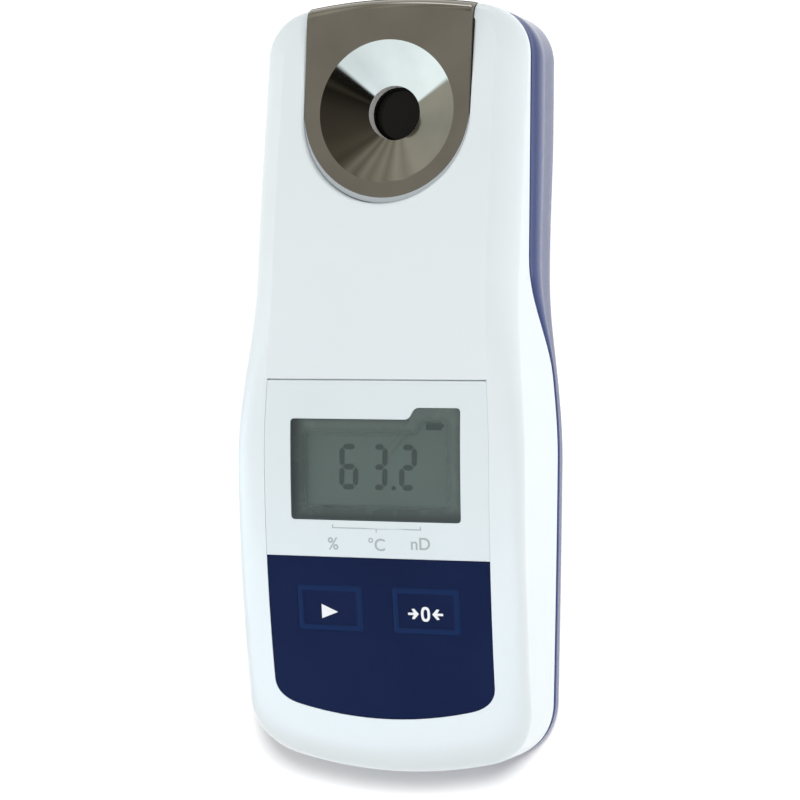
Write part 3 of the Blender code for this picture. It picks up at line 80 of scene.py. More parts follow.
# Heights of the case
CROWN_HEIGHT, CROWN_Y = 0.0287, -0.0036
HEAD_CROWN_RADIUS, FOOT_CROWN_RADIUS, HEAD_STRAIGHT_Y = 0.353, 0.235, 0.042
SIDE_CROWN = 0.0006
STAGE_HEIGHT, STAGE_SLOPE = 0.0241, 0.04
PARTING_HEAD, PARTING_BODY, PARTING_Y, PARTING_LENGTH = 0.0169, 0.0056, 0.013, 0.022
GRIP_RISE, GRIP_Y, GRIP_HALF = 0.0015, 0.024, 0.026
REAR_ROUND = 0.0034
WALL_TURN = (math.radians(-28), math.radians(30))
WALL_REACH, WALL_OVERLAP = 0.00003, 0.0001

# Shoulder between the face and the walls: width and fall
SIDE_SHOULDER_HEAD, SIDE_SHOULDER_BODY = (0.0049, 0.0046), (0.0059, 0.0022)
END_SHOULDER_HEAD, END_SHOULDER_FOOT = (0.0030, 0.0036), (0.0055, 0.0050)
CREASE_SHARE, LIMIT_SHARE = 0.5, 0.8

# Walls and gaps
GAP = 0.0003
FRONT_WALL, SIDE_WALL, REAR_WALL = 0.0024, 0.0022, 0.0022
SHOULDER_WALL, CEILING_INSET = 0.0033, 0.0011
LIP_WIDTH, LIP_HEIGHT, TIP_CLEAR = 0.0010, 0.0012, 0.0002
NOTCH_ROUND, RIM_ROUND, PANEL_ROUND = 0.0006, 0.00025, 0.00015

# Panels, window and keys
PANEL_DEPTH, PANEL_POCKET, PANEL_MARGIN = 0.0007, 0.0010, 0.0006
KEYPAD_BOW, KEYPAD_CORNER = 0.070, 0.0045
WINDOW_HALF, WINDOW_FOOT_Y, WINDOW_HEAD_Y = 0.0168, -0.0249, -0.0061
WINDOW_TAB, WINDOW_TAB_RISE, WINDOW_CORNER, WINDOW_LEDGE = 0.0087, 0.0022, 0.0008, 0.0009
WINDOW_TAB_SLANT = 0.0013
KEY_X, KEY_Y, KEY_HALF_WIDTH, KEY_HALF_LENGTH = 0.00955, -0.0414, 0.00655, 0.0043
KEY_CORNER, KEY_WELL, STEM_RADIUS = 0.0007, 0.0006, 0.002
KEY_PLACES = (-KEY_X, KEY_X)
FINE_GAP, PANEL_FIT = 0.00002, 0.00027
LABEL_FOOT_INSET, LABEL_HEAD_INSET, POCKET_HEAD_INSET = 0.00029, 0.0005, 0.0003
POCKET_CENTRE, KEYPAD_CENTRE = (0, -0.030), (0, -0.045)

# Dish, from its rim down to the seat of the prism
DISH_RIM, DISH_FLOOR, DISH_DEPTH = 0.0136, 0.0051, 0.0047
SEAT_DEPTH, SEAT_LIP, SEAT_LIP_WIDTH = 0.0024, 0.0006, 0.00045
SEAL_POCKET, CUP_RADIUS, CUP_DEPTH = 0.0066, 0.0086, 0.0077
DISH_RIM_ROUND, SEAT_ROUND, FLOOR_ROUND = 0.0018, 0.0001, 0.00003
STAGE_THICKNESS, STAGE_FIT, STAGE_EDGE_ROUND = 0.0034, 0.0001, 0.0002
STAGE_RIM_MARGIN, STAGE_STEP = 0.0005, 0.0002
SEAT_WALL_START, SEAT_WALL_END = 0.02, 0.00002
# A light grey band painted along the stage's round end, as painted shade standing in for the case's notch
# wall in shade: its widest, how it narrows towards the flanks, and its blur
PAINTED_BAND_WIDTH, PAINTED_BAND_TAPER, PAINTED_BAND_BLUR = 0.0011, 0.8, 0.0001

# Screws, with their bosses, seats and bores
CASE_SCREWS = np.array([(0.0206, 0.058), (-0.0206, 0.058), (0.0213, -0.0575), (-0.0213, -0.0575)])
CASE_HEAD_RADIUS, CASE_HEAD_HIGH, CASE_SHANK = 0.0025, 0.0023, 0.00125
CASE_BOSS_RADIUS, CASE_BORE_DEPTH = 0.0027, 0.003
CASE_SEAT_RADIUS, CASE_SEAT_RISE, CASE_SHANK_DEPTH = 0.0034, 0.0009, 0.002
BOARD_SCREWS = np.array([(0.0165, 0.010), (-0.0165, 0.010), (0.0165, -0.050), (-0.0165, -0.050)])
BOARD_BOSS_RADIUS, BOARD_TOP, BOSS_OVERLAP = 0.0023, 0.0198, 0.001

# Battery bay, its cover, and the insert for the cover's screw
BAY_HALF, BAY_FOOT, BAY_HEAD, BAY_ROOF, BAY_WALL = 0.01165, -0.0623, -0.0138, 0.0142, 0.0012
COVER_HALF, COVER_FOOT, COVER_HEAD, COVER_CORNER, COVER_TOP = 0.01505, -0.0657, -0.0020, 0.004, 0.0019
PAD_MARGIN, PAD_THICKNESS = 0.0015, 0.0024
SEAL_INSET, SEAL_WIDTH, GROOVE_LOW, GROOVE_RISE = 0.0016, 0.0013, 0.0003, 0.0012
INSERT_PLACE = (0, -0.0067)
INSERT_BOSS_RADIUS, INSERT_BOSS_TOP = 0.0041, 0.0092
INSERT_BORE_RADIUS, INSERT_BORE_TOP = 0.0029, 0.0080

# Heights at which cutters start and end: clear of the case, between its floors, and a step apart
BELOW, ABOVE = -0.002, 0.032
PANEL_LOW, OPENING_LOW, STEM_HOLE_TOP = 0.020, 0.021, 0.0275
APART = 0.0001

# Fineness
WELD = 0.000002
OUTLINE_STEPS, COLUMNS = 160, 130
FACE_ROWS, SLOPE_ROWS, WALL_ROWS, CEILING_ROWS = 34, 18, 6, 12
ROUND_STEPS, RIM_STEPS = 6, 3
BEND_LENGTH = 0.014
BLOCK = 2000
TILT_STEP = 0.0001
LEAST_SHARE, LEAST_LENGTH = 1e-6, 1e-9
CENTRE_SHARE = 0.02


# Form of the case

def smooth_step(share):
    """Rises from 0 to 1 with level ends: 3s² - 2s³."""
    share = np.clip(share, 0, 1)
    return share * share * (3 - 2 * share)


def unit(ways):
    """The same ways, each divided by its length."""
    return ways / np.linalg.norm(ways, axis=-1)[..., None]


def head_share(y):
    """0 in the wide body and 1 in the narrow head."""
    return smooth_step((np.asarray(y, float) - WIDENING_Y) / WIDENING_LENGTH + 0.5)


def half_width(y):
    """Half the plan's width: a parabola from the body to the foot, blended to the head's width."""
    body = BODY_HALF + (FOOT_HALF - BODY_HALF) * np.clip(np.asarray(y, float) / FOOT_WIDTH_Y, 0, None) ** 2
    return body + (HEAD_HALF - body) * head_share(y)


def crown_height(y):
    """Height of the face's middle line: an arc each way from the crown, then straight to the head end."""
    y = np.asarray(y, float)
    run = HEAD_STRAIGHT_Y - CROWN_Y
    arc, straight = np.clip(y - CROWN_Y, 0, run), np.maximum(y - HEAD_STRAIGHT_Y, 0)
    fall = (arc ** 2 / 2 + straight * run) / HEAD_CROWN_RADIUS
    return CROWN_HEIGHT - fall - np.minimum(y - CROWN_Y, 0) ** 2 / 2 / FOOT_CROWN_RADIUS


def stage_height(y):
    """Height of the stage's middle line: a plane that tips a little to the head."""
    return STAGE_HEIGHT - STAGE_SLOPE * (np.asarray(y, float) - STAGE_Y)


def parting_height(y):
    """Height of the line between the shells."""
    share = smooth_step((np.asarray(y, float) - PARTING_Y) / PARTING_LENGTH + 0.5)
    return PARTING_BODY + (PARTING_HEAD - PARTING_BODY) * share


def rear_height(y):
    """Height of the back: 0 at both ends, with a raised cosine hollow for the fingers."""
    along = np.clip((np.asarray(y, float) - GRIP_Y) / GRIP_HALF, -1, 1)
    return GRIP_RISE * np.cos(along * math.pi / 2) ** 2


def side_shoulder(y):
    return SIDE_SHOULDER_BODY[0] + (SIDE_SHOULDER_HEAD[0] - SIDE_SHOULDER_BODY[0]) * head_share(y)


def face_height(x, y, middle=crown_height):
    """The middle line's height, less a parabola across that falls by the side crown."""
    half = half_width(y) - side_shoulder(y)
    return middle(y) - SIDE_CROWN * (np.asarray(x, float) / half) ** 2


def bend(start, start_way, end, end_way, steps):
    """A cubic that leaves the start along its way and meets the end along its own."""
    start, start_way, end, end_way = (np.asarray(v, float) for v in (start, start_way, end, end_way))
    share = np.linspace(0, 1, steps + 1)[:, None]
    first, second = start + start_way * ROUND_HANDLE, end - end_way * ROUND_HANDLE
    back = 1 - share
    return (back ** 3 * start + 3 * back ** 2 * share * first
            + 3 * back * share ** 2 * second + share ** 3 * end)


def half_outline():
    """The right half of the case's plan from the foot's middle to the head's, with outward normals."""
    foot_x = half_width(FOOT_END_Y + FOOT_CORNER[1]) - FOOT_CORNER[0]
    head_x = half_width(HEAD_END_Y - HEAD_CORNER[1]) - HEAD_CORNER[0]
    foot_line, head_line = np.linspace(0, foot_x, OUTLINE_STEPS), np.linspace(head_x, 0, OUTLINE_STEPS)
    foot = np.stack([foot_line, FOOT_END_Y + foot_line ** 2 / 2 / FOOT_END_RADIUS], 1)
    head = np.stack([head_line, HEAD_END_Y - head_line ** 2 / 2 / HEAD_END_RADIUS], 1)
    side_line = np.linspace(foot[-1, 1] + FOOT_CORNER[1], head[0, 1] - HEAD_CORNER[1], 4 * OUTLINE_STEPS)
    side = np.stack([half_width(side_line), side_line], 1)
    foot_way = (FOOT_CORNER[0], foot_x / FOOT_END_RADIUS * FOOT_CORNER[0])
    head_way = (-HEAD_CORNER[0], head_x / HEAD_END_RADIUS * HEAD_CORNER[0])
    low = bend(foot[-1], foot_way, side[0], (0, FOOT_CORNER[1]), OUTLINE_STEPS)
    high = bend(side[-1], (0, HEAD_CORNER[1]), head[0], head_way, OUTLINE_STEPS)
    points = np.concatenate([foot, low[1:-1], side, high[1:-1], head])
    points[:, 0] *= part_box("front_case")[1].x / points[:, 0].max()
    tangent = np.gradient(points, axis=0)
    normal = np.stack([tangent[:, 1], -tangent[:, 0]], 1)
    normal[0], normal[-1] = (0, -1), (0, 1)
    return points, unit(normal)


EDGE, EDGE_NORMAL = half_outline()


def corner_limit(y):
    """The tightest bend of the nearer end's corners, which an inset line stays within."""
    head, foot = (min(c) ** 2 / max(c) for c in (HEAD_CORNER, FOOT_CORNER))
    return np.where(y > 0, head, foot)


def shoulder(points, normal, middle=crown_height):
    """Width, fall and crease of the shoulder at points of the outline, mixed by the normal's x squared."""
    y, share, across = points[:, 1], head_share(points[:, 1]), normal[:, 0] ** 2
    end = [a + (b - a) * share for a, b in zip(END_SHOULDER_FOOT, END_SHOULDER_HEAD)]
    side = [a + (b - a) * share for a, b in zip(SIDE_SHOULDER_BODY, SIDE_SHOULDER_HEAD)]
    width, fall = (e + (s - e) * across for e, s in zip(end, side))
    width = np.minimum(width, LIMIT_SHARE * corner_limit(y))
    room = middle(y) - SIDE_CROWN - parting_height(y) - GAP
    return width, np.minimum(fall, LIMIT_SHARE * room), CREASE_SHARE * share * across


def closest(plan, line):
    """The place of the line's nearest point for each plan point, found block by block."""
    blocks = np.array_split(plan, max(1, len(plan) // BLOCK))
    return np.concatenate([np.argmin(((block[:, None] - line[None]) ** 2).sum(2), 1) for block in blocks])


def nearest(x, y):
    """For each plan point, the nearest place of the outline's right half."""
    return closest(np.stack([np.abs(x).ravel(), y.ravel()], 1), EDGE).reshape(x.shape)


def front_form(x, y, z=None, middle=crown_height):
    """Height and normal of the front: the face, less the shoulder's fall, which grows with
    t = 1 - sqrt(distance / width) as 2t(1-t)·crease + t². The height z of the point isn't needed."""
    x, y = np.asarray(x, float), np.asarray(y, float)
    place = nearest(x, y)
    edge, way = EDGE[place], EDGE_NORMAL[place]
    width, fall, crease = (v[place] for v in shoulder(EDGE, EDGE_NORMAL, middle))
    inner = edge - way * width[..., None]
    rest = fall - (face_height(inner[..., 0], inner[..., 1], middle)
                   - face_height(edge[..., 0], edge[..., 1], middle))
    plan = np.stack([np.abs(x), y], -1)
    distance = np.clip(((edge - plan) * way).sum(-1), 0, None)
    ratio = np.sqrt(np.clip(distance / width, LEAST_SHARE, 1))
    share = 1 - ratio
    height = face_height(x, y, middle) - rest * (2 * share * (1 - share) * crease + share ** 2)
    steep = np.where(ratio < 1, rest * (2 * crease * (1 - 2 * share) + 2 * share) / (2 * width * ratio), 0)
    step = TILT_STEP
    tilt_x = (face_height(x - step, y, middle) - face_height(x + step, y, middle)) / (2 * step)
    tilt_y = (face_height(x, y - step, middle) - face_height(x, y + step, middle)) / (2 * step)
    normal = np.stack([tilt_x + np.sign(x) * way[..., 0] * steep, tilt_y + way[..., 1] * steep,
                       np.ones(x.shape)], -1)
    return height, unit(normal)


def rear_form(x, y, z):
    """Height and normal of the back: the hollowed plane, turned up round its edge by a quarter circle.
    The wall's shading turns evenly from a little up at the parting line to the start of that round,
    so that wall and round read as one full curve."""
    place = nearest(x, y)
    edge, way = EDGE[place], EDGE_NORMAL[place]
    distance = ((edge - np.stack([np.abs(x), y], -1)) * way).sum(-1)
    turn = np.arccos(np.clip(1 - distance / REAR_ROUND, 0, 1))
    tilt = (rear_height(y + TILT_STEP) - rear_height(y - TILT_STEP)) / (2 * TILT_STEP)
    top, foot = parting_height(y), rear_height(y) + REAR_ROUND
    height = rear_height(y) + REAR_ROUND * (1 - np.sin(turn))
    wall = (distance < WALL_REACH) & (z > foot - WALL_OVERLAP)
    share = np.clip((top - z) / (top - foot), 0, 1)
    start, end = WALL_TURN
    bent = np.where(wall, start + (end - start) * share, end + (1 - end / (math.pi / 2)) * turn)
    out, down = np.cos(bent), np.sin(bent)
    normal = np.stack([np.sign(x) * way[..., 0] * out, way[..., 1] * out + tilt * down, -down], -1)
    return np.where(wall, z, height), unit(normal)


def stations(count):
    """Points and normals of the right outline, closer where it bends: even steps of its length plus
    14 mm for each radian of bend."""
    run = np.linalg.norm(np.diff(EDGE, axis=0), axis=1)
    cross = EDGE_NORMAL[:-1, 0] * EDGE_NORMAL[1:, 1] - EDGE_NORMAL[:-1, 1] * EDGE_NORMAL[1:, 0]
    measure = np.concatenate([[0], np.cumsum(run + BEND_LENGTH * np.abs(np.arcsin(np.clip(cross, -1, 1))))])
    places = np.arange(len(EDGE))
    index = np.interp(np.linspace(0, 1, count) * measure[-1], measure, places)
    points, normal = (np.stack([np.interp(index, places, values[:, k]) for k in (0, 1)], 1)
                      for values in (EDGE, EDGE_NORMAL))
    return points, unit(normal)


# Making meshes

# Shading from a form: how far in from a corner it is read, how near the corner lies, and how well the
# face's own normal agrees
INWARD, ON_FORM, SAME_WAY = 0.02, 0.00002, 0.9
SHARP = 40


def placed(name, data):
    """Puts a mesh, a lamp, a lens or letters into the scene."""
    thing = bpy.data.objects.new(name, data)
    bpy.context.scene.collection.objects.link(thing)
    return thing


def settled(thing):
    """The mesh of a piece once its modifiers, or its letters, are worked out."""
    bpy.context.view_layer.update()
    return bpy.data.meshes.new_from_object(thing.evaluated_get(bpy.context.evaluated_depsgraph_get()))


def read(items, name, width=3):
    """One property of all of a mesh's items: a row for each, or plain whole numbers for a width of 1."""
    values = np.zeros(len(items) * width, float if width > 1 else np.int32)
    items.foreach_get(name, values)
    return values.reshape(-1, width) if width > 1 else values


def mark(thing, name, values):
    """Writes a number for each of a mesh's points as an attribute."""
    attribute = thing.data.attributes.new(name, "FLOAT", "POINT")
    attribute.data.foreach_set("value", values.astype(np.float32))


def grid_faces(rows, columns, wrap_rows=False, wrap_columns=False):
    """Four-sided faces that join each point of a grid to the next in its row and its column."""
    row = np.arange(rows if wrap_rows else rows - 1)[:, None]
    column = np.arange(columns if wrap_columns else columns - 1)[None, :]
    next_row, next_column = (row + 1) % rows, (column + 1) % columns
    corners = [row * columns + column, row * columns + next_column,
               next_row * columns + next_column, next_row * columns + column]
    return np.stack(np.broadcast_arrays(*corners), -1).reshape(-1, 4)


def solid(name, points, faces, finish, caps=(), sharp=SHARP):
    """A closed mesh: points that meet are welded, and the faces are turned outwards."""
    mesh = bpy.data.meshes.new(name)
    mesh.from_pydata(np.asarray(points).reshape(-1, 3), [], [*faces.tolist(), *[list(c) for c in caps]])
    shape = bmesh.new()
    shape.from_mesh(mesh)
    bmesh.ops.remove_doubles(shape, verts=shape.verts, dist=WELD)
    bmesh.ops.recalc_face_normals(shape, faces=shape.faces)
    if shape.calc_volume(signed=True) < 0:
        bmesh.ops.reverse_faces(shape, faces=shape.faces)
    shape.to_mesh(mesh)
    shape.free()
    if finish:
        mesh.materials.append(finish)
    mesh.shade_smooth()
    mesh.set_sharp_from_angle(angle=math.radians(sharp))
    return placed(name, mesh)


def loft(name, rings, finish=None, closed=False):
    """Skins rings of points: the first and last are capped, or meet each other when closed."""
    rings = np.asarray(rings, float)
    rows, columns = rings.shape[:2]
    caps = () if closed else (range(columns), range((rows - 1) * columns, rows * columns))
    return solid(name, rings, grid_faces(rows, columns, closed, True), finish, caps)


def ring(line, height):
    """A plan line raised to one height, or to a height for each of its points."""
    line = np.asarray(line, float)
    return np.column_stack([line, np.broadcast_to(height, len(line))])


def upright(line, low, high):
    """Two rings of one plan line, at a low and a high height."""
    return [ring(line, low), ring(line, high)]


def round_line(centre, radius, sides=48):
    turn = np.linspace(0, 2 * math.pi, sides, endpoint=False)
    return np.stack([centre[0] + radius * np.cos(turn), centre[1] + radius * np.sin(turn)], 1)


def post(centre, radius, low, high):
    """An upright round bar."""
    return loft("post", upright(round_line(centre, radius), float(low), float(high)))


def merged(name, things):
    """Puts pieces that don't touch into one object, so that one Boolean serves for all."""
    shape = bmesh.new()
    for thing in things:
        shape.from_mesh(thing.data)
        bpy.data.objects.remove(thing)
    mesh = bpy.data.meshes.new(name)
    shape.to_mesh(mesh)
    shape.free()
    return placed(name, mesh)


def carve(thing, *steps):
    """Joins or cuts with exact Booleans, one after another, and keeps the result as the piece's mesh."""
    for operation, other in steps:
        modifier = thing.modifiers.new(other.name, "BOOLEAN")
        modifier.operation, modifier.object, modifier.solver = operation, other, "EXACT"
    mesh = settled(thing)
    thing.modifiers.clear()
    thing.data = mesh
    for _, other in steps:
        bpy.data.objects.remove(other)
    mesh.shade_smooth()
    mesh.set_sharp_from_angle(angle=math.radians(SHARP))


def true_shading(thing, form):
    """Gives the corners that lie on a known form that form's own normal, so that cuts leave no trace."""
    mesh = thing.data
    owner = np.repeat(np.arange(len(mesh.polygons)), read(mesh.polygons, "loop_total", 1))
    corner = read(mesh.vertices, "co")[read(mesh.loops, "vertex_index", 1)]
    centre, flat = (read(mesh.polygons, name)[owner] for name in ("center", "normal"))
    smooth = read(mesh.corner_normals, "vector")
    height = form(*corner.T)[0]
    normal = form(*(corner + (centre - corner) * INWARD).T)[1]
    near = (np.abs(corner[:, 2] - height) < ON_FORM) & ((flat * normal).sum(1) > SAME_WAY)
    smooth[near] = normal[near]
    mesh.normals_split_custom_set(smooth.tolist())


def dress(thing, body, slot, *nodes):
    """Makes a piece ride on its body and stand for its CAD nodes; the slot is not used."""
    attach(thing, body)
    if nodes:
        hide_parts(*nodes)
    return thing


# Plan lines of the panels

def filled(line, step=0.0012):
    """A closed line with points added along it, so that none are further apart than the step."""
    line = np.asarray(line, float)
    ends = np.roll(line, -1, 0)
    counts = np.maximum(1, np.ceil(np.linalg.norm(ends - line, axis=1) / step)).astype(int)
    start = np.repeat(np.arange(len(line)), counts)
    order = np.arange(counts.sum()) - np.repeat(np.cumsum(counts) - counts, counts)
    share = (order / counts[start])[:, None]
    return line[start] + (ends - line)[start] * share


def grown(line, distance):
    """A line moved outwards along the bisector at each point."""
    points = np.asarray(line, float)
    ahead = unit(np.roll(points, -1, 0) - points)
    behind = np.roll(ahead, 1, 0)
    bisector = np.stack([ahead[:, 1] + behind[:, 1], -ahead[:, 0] - behind[:, 0]], 1)
    return points + bisector * (2 / np.sum(bisector ** 2, axis=1))[:, None] * distance


def rounded(corners, radius, steps=6):
    """A polygon with each corner turned into a parabola that starts this far from it."""
    corners = np.asarray(corners, float)
    start, end = (corners + unit(np.roll(corners, side, 0) - corners) * radius for side in (1, -1))
    share = np.linspace(0, 1, steps + 1)[None, :, None]
    line = (start[:, None] * (1 - share) ** 2 + corners[:, None] * 2 * share * (1 - share)
            + end[:, None] * share ** 2)
    return line.reshape(-1, 2)


def rectangle(x_low, x_high, y_low, y_high):
    return [(x_low, y_low), (x_high, y_low), (x_high, y_high), (x_low, y_high)]


def panel_half(y):
    return half_width(y) - side_shoulder(y) - PANEL_MARGIN


def label_line(grow=0.0):
    """The label: straight ends, and sides that keep their distance from the face's edge."""
    y = np.linspace(KEYPAD_HEAD_Y + GAP + LABEL_FOOT_INSET, LABEL_HEAD_Y - LABEL_HEAD_INSET, 24)
    right = np.stack([panel_half(y), y], 1)
    return grown(filled(np.concatenate([right, right[::-1] * [-1, 1]])), grow)


def keypad_line(grow=0.0, top=KEYPAD_HEAD_Y):
    """The keypad: a straight top, rounded lower corners and a bowed lower edge."""
    corner_x = panel_half(KEYPAD_FOOT_Y) - KEYPAD_CORNER
    low_x = np.linspace(0, corner_x, 18)
    low = np.stack([low_x, KEYPAD_FOOT_Y + low_x ** 2 / 2 / KEYPAD_BOW], 1)
    y = np.linspace(low[-1, 1] + KEYPAD_CORNER, top, 20)
    side = np.stack([panel_half(y), y], 1)
    corner = bend(low[-1], (KEYPAD_CORNER, corner_x / KEYPAD_BOW * KEYPAD_CORNER), side[0],
                  (0, KEYPAD_CORNER), 12)
    right = np.concatenate([low, corner[1:-1], side])
    return grown(filled(np.concatenate([right, right[:0:-1] * [-1, 1]])), grow)


def window_line(grow=0.0):
    """The window: a rectangle with a raised tab at its upper right."""
    left, right = -WINDOW_HALF, WINDOW_HALF
    low, high, top = WINDOW_FOOT_Y, WINDOW_HEAD_Y, WINDOW_HEAD_Y + WINDOW_TAB_RISE
    tab = right - WINDOW_TAB
    corners = [(left, low), (right, low), (right, top), (tab, top), (tab - WINDOW_TAB_SLANT, high),
               (left, high)]
    return rounded(grown(corners, grow), WINDOW_CORNER)


def key_line(x, grow=0.0, corner=KEY_CORNER):
    half_x, half_y = KEY_HALF_WIDTH + grow, KEY_HALF_LENGTH + grow
    return rounded(rectangle(x - half_x, x + half_x, KEY_Y - half_y, KEY_Y + half_y), corner)


def on_face(line, rise):
    """A ring of plan points raised to the face's height plus a rise, but not above the CAD's box."""
    line = np.asarray(line, float)
    return ring(line, np.minimum(face_height(line[:, 0], line[:, 1]) + rise, CAD_BOX[1].z))


def shrunk(line, centre, share):
    return np.asarray(centre) + (line - np.asarray(centre)) * share


def inlaid(name, line_at, centre, finish, rows=10):
    """A plate let into the face: rings shrink to its centre above and below, and a quarter circle leads
    over its edge. The line is given for any distance outwards."""
    shares = np.linspace(CENTRE_SHARE, 1, rows)[:-1]
    inner, outer = line_at(-PANEL_ROUND), line_at(0.0)
    rings = [on_face(shrunk(inner, centre, s), 0.0) for s in shares]
    rings += [on_face(line_at(-PANEL_ROUND * (1 - math.sin(a))), -PANEL_ROUND * (1 - math.cos(a)))
              for a in np.linspace(0, math.pi / 2, 5)]
    rings += [on_face(outer, -PANEL_DEPTH)]
    rings += [on_face(shrunk(outer, centre, s), -PANEL_DEPTH) for s in shares[::-1]]
    return loft(name, rings, finish)


# Finishes

def shade(red, green, blue):
    """A colour as it looks, 0 to 255, as the linear colour that a shader takes."""
    value = np.array([red, green, blue]) / 255
    linear = np.where(value <= 0.04045, value / 12.92, ((value + 0.055) / 1.055) ** 2.4)
    return (*linear.tolist(), 1.0)


class Kit:
    """One material's nodes, read on Object coordinates."""

    def __init__(self, name, **sockets):
        self.made = bpy.data.materials.new(name)
        self.made.use_nodes = True
        self.tree = self.made.node_tree
        self.shader = self.tree.nodes["Principled BSDF"]
        self.place = self.tree.nodes.new("ShaderNodeTexCoord").outputs["Object"]
        for socket, value in sockets.items():
            self.shader.inputs[socket.replace("_", " ")].default_value = value

    def node(self, kind, inputs=(), **settings):
        made = self.tree.nodes.new("ShaderNode" + kind)
        for setting, value in settings.items():
            setattr(made, setting, value)
        for socket, value in dict(inputs).items():
            self.set(made.inputs[socket], value)
        return made

    def set(self, socket, value):
        if isinstance(value, bpy.types.NodeSocket):
            self.tree.links.new(value, socket)
        else:
            socket.default_value = value

    def attribute(self, name):
        return self.node("Attribute", attribute_name=name).outputs["Fac"]

    def noise(self, scale, detail=3.0, roughness=0.5):
        """A noise pattern of this many waves a metre."""
        return self.node("TexNoise", {"Vector": self.place, "Scale": scale, "Detail": detail,
                                      "Roughness": roughness}).outputs["Fac"]

    def ranged(self, value, low, high, start=0.3, end=0.7, **settings):
        return self.node("MapRange", {"Value": value, "From Min": start, "From Max": end,
                                      "To Min": low, "To Max": high}, **settings).outputs["Result"]

    def mixed(self, share, first, second):
        made = self.node("Mix", data_type="RGBA")
        for socket, value in ((0, share), (6, first), (7, second)):
            self.set(made.inputs[socket], value)
        return made.outputs[2]

    def maths(self, operation, first, second):
        return self.node("Math", {0: first, 1: second}, operation=operation).outputs[0]

    def most(self, first, *others):
        """The greatest of several values."""
        for other in others:
            first = self.maths("MAXIMUM", first, other)
        return first

    def relief(self, height, distance):
        return self.node("Bump", {"Height": height, "Distance": distance, "Strength": 1.0}).outputs["Normal"]

    def colour(self, value):
        self.set(self.shader.inputs["Base Color"], value)

    def rough(self, value):
        self.set(self.shader.inputs["Roughness"], value)

    def normal(self, value):
        self.set(self.shader.inputs["Normal"], value)


def moulded(name, pale, deep, rough, grain=9000, depth=0.000006, drift=60, **sockets):
    """Moulded plastic: two close colours in broad clouds, uneven gloss and a fine grain."""
    kit = Kit(name, **sockets)
    kit.colour(kit.mixed(kit.ranged(kit.noise(drift, 4), 0, 1), shade(*pale), shade(*deep)))
    kit.rough(kit.ranged(kit.noise(drift * 7, 5), rough[0], rough[1]))
    kit.normal(kit.relief(kit.noise(grain, 3), depth))
    return kit.made


def metal(name, pale, deep, rough):
    """Machined metal: close tones and fine scratches."""
    kit = Kit(name, Metallic=1.0)
    lines = kit.noise(SCRATCHES, 4, 0.6)
    kit.colour(kit.mixed(kit.ranged(kit.noise(150, 4), 0, 1), shade(*pale), shade(*deep)))
    kit.rough(kit.ranged(lines, rough[0], rough[1]))
    kit.normal(kit.relief(lines, 0.000003))
    return kit.made


# Fine scratches of metal to the metre
SCRATCHES = 2600


FINISH = {
    "white_shell": moulded("white_shell_plastic", (231, 239, 241), (229, 237, 239), (0.28, 0.34),
                           depth=0.0000006, drift=35, Specular_IOR_Level=0.3),
    "blue_shell": moulded("blue_shell_plastic", (42, 61, 117), (39, 57, 111), (0.14, 0.18),
                          depth=0.0000006, Specular_IOR_Level=0.26),
    "label_film": moulded("label_film_satin", (225, 234, 236), (222, 231, 233), (0.34, 0.4), 5000,
                          0.000001, Specular_IOR_Level=0.3),
    "navy_film": moulded("navy_film_satin", (25, 36, 70), (22, 32, 64), (0.42, 0.5), 5000, 0.000002,
                         Specular_IOR_Level=0.02),
    "black_plastic": moulded("black_plastic", (30, 30, 31), (24, 24, 25), (0.4, 0.55)),
    "black_rubber": moulded("black_rubber", (26, 26, 27), (20, 20, 20), (0.65, 0.8), 4000, 0.00001),
    "board_green": moulded("board_green", (26, 92, 58), (18, 76, 46), (0.3, 0.45), 2500, 0.000006),
    "clear_resin": moulded("clear_resin", (238, 220, 160), (228, 206, 140), (0.1, 0.2),
                           Transmission_Weight=0.6),
    "ribbon_amber": moulded("ribbon_amber", (178, 110, 38), (160, 96, 30), (0.3, 0.4), 3000, 0.000003),
    "cell_jacket": moulded("cell_jacket", (58, 60, 64), (48, 50, 54), (0.25, 0.35), 3000, 0.000002,
                           Metallic=0.4),
    "bright_steel": metal("bright_steel", (196, 196, 193), (178, 178, 175), (0.2, 0.34)),
    "brass": metal("brass", (196, 158, 84), (182, 142, 70), (0.25, 0.38)),
    "prism_glass": moulded("prism_glass", (24, 23, 19), (19, 18, 15), (0.03, 0.06), depth=0.0000002,
                           Specular_IOR_Level=0.08),
}


# Painted shade at the display's left, lower, right and upper edge, standing in for the shadow of its
# frame: its share where it starts and where it ends, and the places of both
PAINTED_EDGE_SHADE = ((1.0, 0.0, -0.0166, -0.0125), (0.85, 0.0, -0.0247, -0.0214),
                 (0.0, 0.35, 0.0155, 0.0169), (0.0, 0.3, -0.0070, -0.0062))
PANE_ALPHA = 0.35


def display_glass(name, specular, pale, deep):
    """The display's grey-green, with painted shade that darkens it towards its edges, standing in for the
    shadow of its frame; deep is the painted shade's colour.
    """
    kit = Kit(name, Specular_IOR_Level=specular)
    x, y, _ = kit.node("SeparateXYZ", {0: kit.place}).outputs
    left, low, right, top = (kit.ranged(place, *edge, interpolation_type="SMOOTHSTEP")
                             for place, edge in zip((x, y, x, y), PAINTED_EDGE_SHADE))
    beside_tab = kit.maths("LESS_THAN", x, WINDOW_HALF - WINDOW_TAB - WINDOW_TAB_RISE / 2)
    # painted shade: the colour turns to the deep one towards the edges
    painted_shade = kit.most(left, low, right, kit.maths("MULTIPLY", top, beside_tab))
    plain = kit.mixed(kit.ranged(kit.noise(120, 3), 0, 1), shade(*pale), shade(*(tone - 3 for tone in pale)))
    kit.colour(kit.mixed(painted_shade, plain, shade(*deep)))
    kit.rough(kit.ranged(kit.noise(300, 3), 0.2, 0.3))
    kit.normal(kit.relief(kit.noise(4000, 2), 0.0000005))
    return kit


